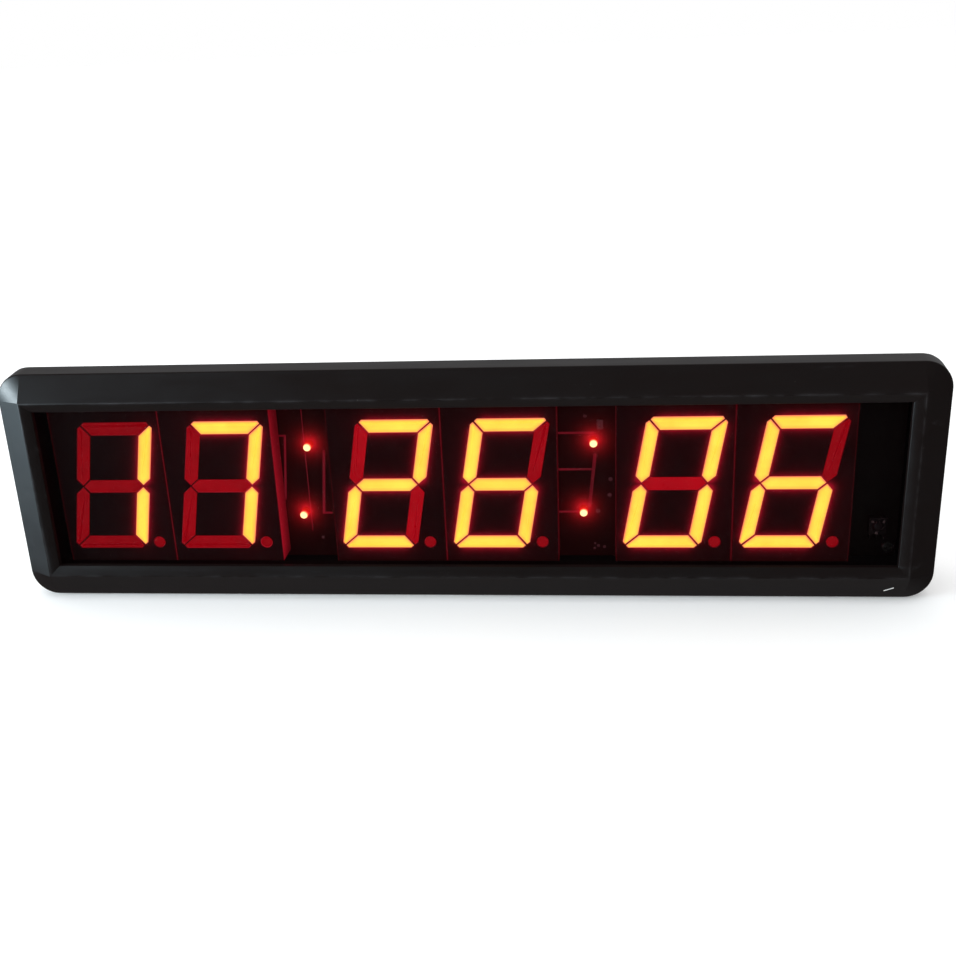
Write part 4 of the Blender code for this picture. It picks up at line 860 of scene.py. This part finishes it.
def buildColonLeds():
    size = {"radius": 1.7 * mm, "flange": 1.9 * mm, "flangeHeight": 1 * mm, "edge": 0.12 * mm}
    for number, ((x, z), (low, high)) in enumerate(zip(ledPlaces, ledBoxes), 1):
        domeY = low.y + size["radius"]
        flangeY = high.y - size["flangeHeight"]
        bpy.ops.mesh.primitive_uv_sphere_add(
            segments=32, ring_count=16, radius=size["radius"],
            location=(x, domeY, z), rotation=(pi / 2, 0, 0))
        piece = finishPlace(bpy.context.object, f"colon_{number}_lamp", "led")
        pickVerts(piece, lambda v: v.y > domeY + touching)
        bpy.ops.mesh.delete(type="VERT")
        leave()
        pickEdges(piece, across(1, domeY))
        extrude(y=flangeY - domeY)
        extrude()
        ratio = size["flange"] / size["radius"]
        bpy.ops.transform.resize(value=(ratio, 1, ratio), center_override=(x, flangeY, z))
        extrude(y=size["flangeHeight"])
        bpy.ops.mesh.edge_face_add()
        leave()
        softEdges(piece, size["edge"], 2, 40)
        mount(piece, "led_red", f"colon_led_{number}")


buildColonLeds()
print("colons made")


printed = {  # what stands on the board's front: places in millimetres
    "lift": 0.09 * mm, "sunk": 0.02 * mm, "padHeight": 0.16 * mm, "padEdge": 0.06 * mm,
    "runs": [  # from x, z to x, z, and width
        (40.7, 18.3, 55.1, 18.3, 1.0), (40.7, 2.0, 54.1, 2.0, 1.0),
        (40.7, -17.4, 48.5, -17.4, 0.9), (55.8, 8.4, 53.4, -14.6, 1.4),
        (-68.5, 30, -68.5, -26, 0.4), (-79.7, 18.2, -76.6, 18.2, 0.8),
        (-76.6, 18.2, -79.2, -10.9, 1.0), (-60.2, 11, -62.7, -17.6, 1.2),
        (-62.7, -17.6, -59.2, -17.6, 0.9),
    ],
    "pads": [  # x, z and radius
        (56.9, -17.1, 1.0), (62.3, -2.6, 0.9), (61.9, -9.7, 0.9), (57.0, -33.4, 0.7),
        (59.6, -33.9, 0.7), (55.4, -34.6, 0.6), (55.6, -32.3, 0.5), (-75.2, 30.4, 0.7),
        (-64.2, -29.5, 0.7), (51.6, 25.6, 0.7),
    ],
    "ring": ((56.6 * mm, 19.9 * mm), (59.2 * mm, 24.1 * mm)), "ringHeight": 0.9 * mm,
    "ringHole": ((57.4 * mm, 21 * mm), (58.4 * mm, 23 * mm)), "ringFloor": 0.4 * mm,
    "ringCorner": 0.5 * mm, "ringEdge": 0.1 * mm,
}


def track(ax, az, bx, bz, width):
    # a copper run under the mask, from point to point
    run = Vector((bx - ax, 0, bz - az))
    reach = run.length / 2 + width / 2
    piece = block(
        "run", (-reach, -printed["lift"], -width / 2), (reach, printed["sunk"], width / 2))
    roundEdges(piece, along(1), width * 0.45, 3)
    piece.rotation_euler = (0, -atan2(bz - az, bx - ax), 0)
    piece.location = ((ax + bx) / 2, boardBox[0].y, (az + bz) / 2)
    return finishPlace(piece, "run")


def pad(x, z, radius):
    start = (x, boardBox[0].y + printed["sunk"], z)
    return softEdges(
        rod("pad", start, (0, -1, 0), printed["padHeight"], radius, 24), printed["padEdge"])


def boardRing():
    boardY = boardBox[0].y
    (lowX, lowZ), (highX, highZ) = printed["ring"]
    ring = roundedBlock(
        "ring", (lowX, boardY - printed["ringHeight"], lowZ),
        (highX, boardY + printed["sunk"], highZ), 1, printed["ringCorner"], 3)
    (lowX, lowZ), (highX, highZ) = printed["ringHole"]
    cut(ring, block(
        "hole", (lowX, boardY - 2 * mm, lowZ), (highX, boardY - printed["ringFloor"], highZ)))
    return softEdges(ring, printed["ringEdge"], 2)


def buildBoardFront():
    runs = [track(*(value * mm for value in run)) for run in printed["runs"]]
    mount(joined(runs, "board_runs", "track"), "board_green")
    dots = [pad(*(value * mm for value in dot)) for dot in printed["pads"]]
    mount(joined([*dots, boardRing()], "board_pads", "pads"), "bright_metal")
    paint(frame["nodes"]["main_board"], "board")


def buildReceiver():
    size = {
        "edge": 0.12 * mm, "lugY": -28.2 * mm, "lugZ": -22 * mm, "lugHeight": 0.5 * mm,
        "lugRadius": 0.55 * mm, "lugEdge": 0.2 * mm,
        "lugs": ((-2.3, 2.1), (2.3, 2.1), (-0.4, -2.9)),  # off the middle, in millimetres
    }
    piece = cleanCopy("remote_receiver", "infrared_eye", "lens", size["edge"])
    mount(piece, "chip_black", "remote_receiver")
    low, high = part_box("remote_receiver")
    # three small lugs on the receiver, pale pink as painted glints
    lugs = []
    for x, z in size["lugs"]:
        start = ((low.x + high.x) / 2 + x * mm, size["lugY"], size["lugZ"] + z * mm)
        glintLug = rod("glintLug", start, (0, -1, 0), size["lugHeight"], size["lugRadius"], 24)
        lugs.append(softEdges(glintLug, size["lugEdge"], 3))
    mount(joined(lugs, "infrared_eye_glint_lugs", "glintLug"), "bright_metal")


buildBoardFront()
buildReceiver()
print("board made")


controls = {  # where the controls stand in the bottom wall
    "y": -11.5 * mm, "wallZ": -42.5 * mm, "inletX": 112 * mm, "rockerX": 148 * mm,
    "keyX": (-120 * mm, -105 * mm, -90 * mm),
}


def buildTray():
    size = {
        "halfX": 186.35 * mm, "halfZ": 42.5 * mm, "wall": 2.2 * mm, "corner": 4 * mm,
        "backEdge": 1.5 * mm, "flangeX": 192.75 * mm, "flangeZ": 48.9 * mm,
        "flangeCorner": 9.4 * mm, "flangeBack": -28.8 * mm, "flangeEdge": 0.35 * mm,
        "keyholeX": 130 * mm, "keyholeZ": 10 * mm, "keyholeHead": 5 * mm,
        "keyholeSlot": 2.4 * mm, "keyholeRise": 10 * mm,
        "soundX": -40 * mm, "soundZ": -14 * mm, "soundHalfX": 8 * mm, "soundHalfZ": 1 * mm,
        "soundPitch": 3.8 * mm, "soundRound": 0.9 * mm, "soundSlots": 5,
        "inletHole": 5.7 * mm, "keyHole": 3.3 * mm, "screwHole": 1.6 * mm,
        "switchHalfX": 9.6 * mm, "switchHalfY": 6.6 * mm,
    }
    halfX, halfZ, wall, trayY = size["halfX"], size["halfZ"], size["wall"], trayBox[0].y
    piece = roundedBlock(
        "case_rear", (-halfX, trayY, -halfZ), (halfX, 0, halfZ), 1, size["corner"], 6, "tray")
    roundEdges(piece, across(1, 0), size["backEdge"], 4)
    flange = roundedBlock(
        "flange", (-size["flangeX"], trayY, -size["flangeZ"]),
        (size["flangeX"], size["flangeBack"], size["flangeZ"]), 1, size["flangeCorner"], 10)
    roundEdges(flange, across(1, size["flangeBack"]), size["flangeEdge"], 2)
    cut(piece, flange, "UNION")
    cut(piece, roundedBlock(
        "pocket", (-halfX + wall, trayY - wall, -halfZ + wall),
        (halfX - wall, -wall, halfZ - wall), 1, size["corner"] - wall, 5))
    for side in (-1, 1):
        x, z, half = side * size["keyholeX"], size["keyholeZ"], size["keyholeSlot"]
        top = z + size["keyholeRise"]
        cut(piece, rod(
            "entry", (x, -3 * wall, z), (0, 1, 0), 5 * wall, size["keyholeHead"], 48))
        cut(piece, block("slot", (x - half, -3 * wall, z), (x + half, 2 * wall, top)))
        cut(piece, rod("slotEnd", (x, -3 * wall, top), (0, 1, 0), 5 * wall, half, 32))
    slots = []
    for index in range(size["soundSlots"]):
        z = size["soundZ"] + (index - 2) * size["soundPitch"]
        slots.append(roundedBlock(
            "slot", (size["soundX"] - size["soundHalfX"], -3 * wall, z - size["soundHalfZ"]),
            (size["soundX"] + size["soundHalfX"], 2 * wall, z + size["soundHalfZ"]),
            1, size["soundRound"], 4))
    cut(piece, joined(slots, "slots"))
    y, below = controls["y"], -halfZ - wall
    holes = [rod(
        "hole", (controls["inletX"], y, below), (0, 0, 1), 3 * wall, size["inletHole"], 40)]
    for x in controls["keyX"]:
        holes.append(rod("hole", (x, y, below), (0, 0, 1), 3 * wall, size["keyHole"], 36))
    x, spanX, spanY = controls["rockerX"], size["switchHalfX"], size["switchHalfY"]
    holes.append(block(
        "hole", (x - spanX, y - spanY, below), (x + spanX, y + spanY, below + 3 * wall)))
    for number in range(1, 7):
        low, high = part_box(f"case_screw_{number}")
        x, _, z = (low + high) / 2
        start = (x, trayY - wall, z)
        holes.append(rod("hole", start, (0, 1, 0), 3 * wall, size["screwHole"], 24))
    cut(piece, joined(holes, "holes"))
    mount(shadeSoft(piece, 35), "case_back", "rear_tray")


buildTray()
print("rear tray made")


def buildScrews():
    size = {
        "head": 2.5 * mm, "height": 1.8 * mm, "crown": 1.1 * mm, "shank": 1.3 * mm,
        "length": 7.5 * mm, "taper": 0.9, "tip": 0.12, "arm": 1.5 * mm, "slit": 0.3 * mm,
        "recess": 1 * mm, "turn": 23,
    }
    top = size["height"]
    head = rod("screw", (0, 0, 0), (0, 0, 1), top, size["head"])
    pickFaces(head, lambda c, n: n.z < -0.9)
    bpy.ops.mesh.inset(thickness=size["head"] - size["shank"])
    extrude(z=-size["length"] + size["shank"])
    extrude(z=-size["shank"] * size["taper"])
    bpy.ops.transform.resize(value=(size["tip"], size["tip"], 1), center_override=(0, 0, 0))
    leave()
    roundEdges(head, across(2, top), size["crown"], 5)
    for x, y in ((size["arm"], size["slit"]), (size["slit"], size["arm"])):
        cut(head, block("arm", (-x, -y, top - size["recess"]), (x, y, top * 2)))
    shadeSoft(head, 35)
    for group, count, towards in (("case_screw", 6, 1), ("board_screw", 4, -1)):
        for number in range(1, count + 1):
            low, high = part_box(f"{group}_{number}")
            seat = high.y - top if towards > 0 else low.y + top
            turn = Matrix.Rotation(-pi / 2 * towards, 4, "X")
            turn = turn @ Matrix.Rotation(radians(size["turn"] * number), 4, "Z")
            x, _, z = (low + high) / 2
            place = Matrix.Translation((x, seat, z)) @ turn
            screw = copyTo(head, f"{group}_{number}_pan", place)
            mount(paint(screw, "zinc"), "screw_zinc", f"{group}_{number}")
    bpy.data.objects.remove(head)


buildScrews()
print("screws made")


def buildInlet():
    size = {
        "flange": 7 * mm, "flangeHeight": 2 * mm, "barrel": 5.4 * mm, "length": 13 * mm,
        "socket": 3.15 * mm, "deep": 9.5 * mm, "edge": 0.35 * mm, "pinEdge": 0.5 * mm,
        "tabX": 2.4 * mm, "tabHalfX": 0.6 * mm, "tabHalfY": 2.4 * mm, "tabRoot": 0.5 * mm,
        "tabEdge": 0.3 * mm,
    }
    x, y = controls["inletX"], controls["y"]
    low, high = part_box("power_inlet")
    piece = rod("inlet_barrel", (x, y, low.z), (0, 0, 1), size["flangeHeight"], size["flange"],
                56, "nylon")
    pickFaces(piece, lambda c, n: n.z > 0.9)
    bpy.ops.mesh.inset(thickness=size["flange"] - size["barrel"])
    extrude(z=size["length"])
    leave()
    pickFaces(piece, lambda c, n: n.z < -0.9)
    bpy.ops.mesh.inset(thickness=size["flange"] - size["socket"])
    extrude(z=size["deep"])
    leave()
    softEdges(piece, size["edge"], 3, 50)
    tabs = []
    root = low.z + size["flangeHeight"] + size["length"] - size["tabRoot"]
    for side in (-1, 1):
        tabX = x + side * size["tabX"]
        tab = block("tab", (tabX - size["tabHalfX"], y - size["tabHalfY"], root),
                    (tabX + size["tabHalfX"], y + size["tabHalfY"], high.z))
        tabs.append(roundEdges(tab, along(0), size["tabEdge"], 2))
    mount(joined([piece, *tabs], "inlet_barrel"), "black_nylon", "power_inlet")
    low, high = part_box("power_inlet_pin")
    pin = rod("inlet_contact", (x, y, low.z), (0, 0, 1), high.z - low.z, (high.x - low.x) / 2,
              32, "nickel")
    roundEdges(pin, across(2, low.z), size["pinEdge"], 4)
    mount(shadeSoft(pin, 40), "bright_metal", "power_inlet_pin")


def ringSign(name, x, y, z, height, outer, inner):
    sign = rod(name, (x, y, z), (0, 0, 1), height, outer)
    return cut(sign, rod("hole", (x, y, z - 1 * mm), (0, 0, 1), 2 * mm, inner))


def buildSwitch():
    size = {
        "bodyEdge": 0.25 * mm, "rockerEdge": 0.3 * mm, "signX": 4.6 * mm, "sunk": 0.15 * mm,
        "barHalfX": 0.3 * mm, "barHalfY": 1.5 * mm, "proud": 0.04 * mm, "barRound": 0.2 * mm,
        "ring": 1.4 * mm, "ringHole": 0.9 * mm, "belowZ": -60 * mm,
    }
    body = cleanCopy("power_switch_body", "switch_bezel", "nylon", size["bodyEdge"], 50)
    mount(body, "black_nylon", "power_switch_body")
    rocker = cleanCopy("power_rocker", "switch_rocker", "nylon", size["rockerEdge"], 50)
    mount(rocker, "black_nylon", "power_rocker", body="rocker")
    bar = roundedBlock(
        "on", (-size["barHalfX"], -size["barHalfY"], -size["sunk"]),
        (size["barHalfX"], size["barHalfY"], size["proud"]), 2, size["barRound"], 3)
    ring = ringSign(
        "off", 0, 0, -size["sunk"], size["sunk"] + size["proud"], size["ring"], size["ringHole"])
    for sign, offset in ((bar, -size["signX"]), (ring, size["signX"])):
        eye = Vector((controls["rockerX"] + offset, controls["y"], size["belowZ"]))
        _, place, normal, _ = rocker.ray_cast(eye, Vector((0, 0, 1)))
        turn = normal.to_track_quat("Z", "Y").to_matrix().to_4x4()
        sign.data.transform(Matrix.Translation(place) @ turn)
    mount(joined([bar, ring], "switch_signs", "print"), "white_plastic", body="rocker")


def buildKeys():
    size = {
        "stem": 3 * mm, "face": 3.8 * mm, "collar": (1.4, 0.8 * mm), "post": (1.7 / 4.2, 2.1 * mm),
        "dishInset": 0.9 * mm, "dish": 0.25 * mm, "edge": 0.3 * mm,
    }
    for number in range(1, 4):
        low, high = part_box(f"key_cap_{number}")
        x, y, _ = (low + high) / 2
        piece = rod(f"key_{number}_button", (x, y, low.z), (0, 0, 1), size["face"], size["stem"],
                    40, "key")
        pickFaces(piece, lambda c, n: n.z > 0.9)
        for scale, rise in (size["collar"], size["post"]):
            extrude()
            bpy.ops.transform.resize(value=(scale, scale, 1), center_override=(x, y, 0))
            extrude(z=rise)
        leave()
        pickFaces(piece, lambda c, n: n.z < -0.9 and c.z < low.z + touching)
        bpy.ops.mesh.inset(thickness=size["dishInset"])
        extrude(z=size["dish"])
        leave()
        softEdges(piece, size["edge"], 3, 45)
        mount(piece, "white_plastic", f"key_cap_{number}", body=f"key_{number}")


def buildMarks():
    # printed signs beside the keys: less, set, more
    size = {
        "y": -18.4 * mm, "long": 1.6 * mm, "thick": 0.3 * mm, "round": 0.25 * mm,
        "proud": 0.04 * mm, "sunk": 0.05 * mm, "ring": 1.5 * mm, "ringHole": 1.0 * mm,
    }
    y = size["y"]
    bottom, top = controls["wallZ"] - size["proud"], controls["wallZ"] + size["sunk"]
    lessX, setX, moreX = controls["keyX"]

    def bar(x, halfX, halfY):
        return roundedBlock("bar", (x - halfX, y - halfY, bottom), (x + halfX, y + halfY, top),
                            2, size["round"], 4)

    less, more = (bar(x, size["long"], size["thick"]) for x in (lessX, moreX))
    cut(more, bar(moreX, size["thick"], size["long"]), "UNION")
    ring = ringSign("ring", setX, y, bottom, top - bottom, size["ring"], size["ringHole"])
    mount(joined([less, more, ring], "key_signs", "print"), "white_plastic")


buildInlet()
buildSwitch()
buildKeys()
buildMarks()
print("controls made")


inside = {  # pieces out of sight
    "microcontroller": "chip", "led_driver_1": "chip", "led_driver_2": "chip",
    "led_driver_3": "chip", "crystal": "nickel", "supply_capacitor": "sleeve",
    "supply_inductor": "chip", "regulator": "chip", "buzzer": "nylon", "cell_holder": "nylon",
    "coin_cell": "nickel", "power_header": "print", "power_inlet_nut": "nickel",
    "key_board": "green", "key_switch_1": "chip", "key_switch_2": "chip",
    "key_switch_3": "chip", "lead_inlet_to_switch": "redLead",
    "lead_switch_to_board": "redLead", "lead_inlet_to_board": "blackLead",
}
for node, look in inside.items():
    paint(frame["nodes"][node], look)
print("inside finished")


def buildStage():
    # a wide plain floor, clear from underneath so that the bottom can be seen
    size = {"radius": 14, "below": 0.2 * mm, "glow": 0.17}
    bpy.ops.mesh.primitive_circle_add(
        vertices=96, radius=size["radius"], fill_type="NGON",
        location=(0, 0, cadBox[0].z - size["below"]))
    floor = finishPlace(bpy.context.object, "studio_floor")
    shade = Shade(
        "studio_white", Base_Color=(0.84, 0.84, 0.84), Roughness=0.9, Specular_IOR_Level=0.0,
        Emission_Color=(1, 1, 1), Emission_Strength=size["glow"])
    clear = shade.node("ShaderNodeBsdfTransparent")
    under = shade.node("ShaderNodeNewGeometry", out="Backfacing")
    shade.over(Wire(shade, shade.surface.outputs[0]), clear, under)
    floor.data.materials.append(shade.material)
    floor.visible_glossy = False


def softbox(name, place, target, size, power, colour=(1, 1, 1)):
    data = bpy.data.lights.new(name, "AREA")
    data.shape = "RECTANGLE"
    data.size, data.size_y = size
    data.energy = power
    data.color = colour
    lamp = bpy.data.objects.new(name, data)
    bpy.context.collection.objects.link(lamp)
    lamp.location = place
    lamp.rotation_euler = (Vector(target) - Vector(place)).to_track_quat("-Z", "Y").to_euler()
    return lamp


def buildLight():
    # an even white room, which gloss sees as dim, brighter behind the viewer and below
    room = {
        "white": (1, 1, 1, 1), "mirror": (0.96, 0.98, 1.0, 1),
        "back": (0.0, 0.8, 0.03, 0.34), "down": (-0.95, -0.7, 0.14, 0.0),
    }
    world = bpy.data.worlds.new("studio")
    bpy.context.scene.world = world
    world.use_nodes = True
    nodes, links = world.node_tree.nodes, world.node_tree.links
    nodes.clear()
    kinds = ("Background", "Background", "MixShader", "OutputWorld", "LightPath", "TexCoord",
             "SeparateXYZ", "MapRange", "MapRange", "Math")
    white, mirror, mix, end, path, place, split, back, down, total = (
        nodes.new("ShaderNode" + kind) for kind in kinds)
    white.inputs["Color"].default_value = room["white"]
    mirror.inputs["Color"].default_value = room["mirror"]
    links.new(place.outputs["Generated"], split.inputs[0])
    for index, (ranges, axis, values) in enumerate(
            ((back, 1, room["back"]), (down, 2, room["down"]))):
        links.new(split.outputs[axis], ranges.inputs[0])
        for socket, value in enumerate(values, 1):
            ranges.inputs[socket].default_value = value
        links.new(ranges.outputs[0], total.inputs[index])
    links.new(total.outputs[0], mirror.inputs["Strength"])
    links.new(path.outputs["Is Glossy Ray"], mix.inputs[0])
    links.new(white.outputs[0], mix.inputs[1])
    links.new(mirror.outputs[0], mix.inputs[2])
    links.new(mix.outputs[0], end.inputs[0])
    key = softbox("key_softbox", (-0.7, 0.3, 1.9), (0, 0.3, -0.05), (2.6, 2.6), 14)
    key.visible_glossy = False
    softbox("window_side", (-1.15, -0.55, 0.08), (-0.1, 0, 0), (0.8, 0.9), 10, (0.6, 0.86, 1.0))
    softbox("window_gleam", (-1.10, -0.44, 0.175), (-0.19, 0, 0.04), (0.26, 0.26), 8,
            (0.84, 0.95, 1.0))


def buildCamera():
    view = {"turn": -6.27, "down": 21.0, "roll": -2.57, "place": (0.0573, -0.49055, 0.179),
            "lens": 44.36, "sensor": 36, "near": 0.01, "far": 50}
    yaw, pitch, roll = radians(view["turn"]), radians(view["down"]), radians(view["roll"])
    forward = Vector((sin(yaw) * cos(pitch), cos(yaw) * cos(pitch), -sin(pitch)))
    right = Vector((cos(yaw), -sin(yaw), 0))
    up = right.cross(forward)
    rolledRight = cos(roll) * right + sin(roll) * up
    rolledUp = -sin(roll) * right + cos(roll) * up
    data = bpy.data.cameras.new("camera")
    camera = bpy.data.objects.new("camera", data)
    bpy.context.collection.objects.link(camera)
    data.lens, data.sensor_width = view["lens"], view["sensor"]
    data.clip_start, data.clip_end = view["near"], view["far"]
    turn = Matrix((rolledRight, rolledUp, -forward)).transposed().to_4x4()
    camera.matrix_world = Matrix.Translation(view["place"]) @ turn
    bpy.context.scene.camera = camera


buildStage()
buildLight()
buildCamera()
bpy.context.scene.view_settings.view_transform = "Standard"
print("stage made")
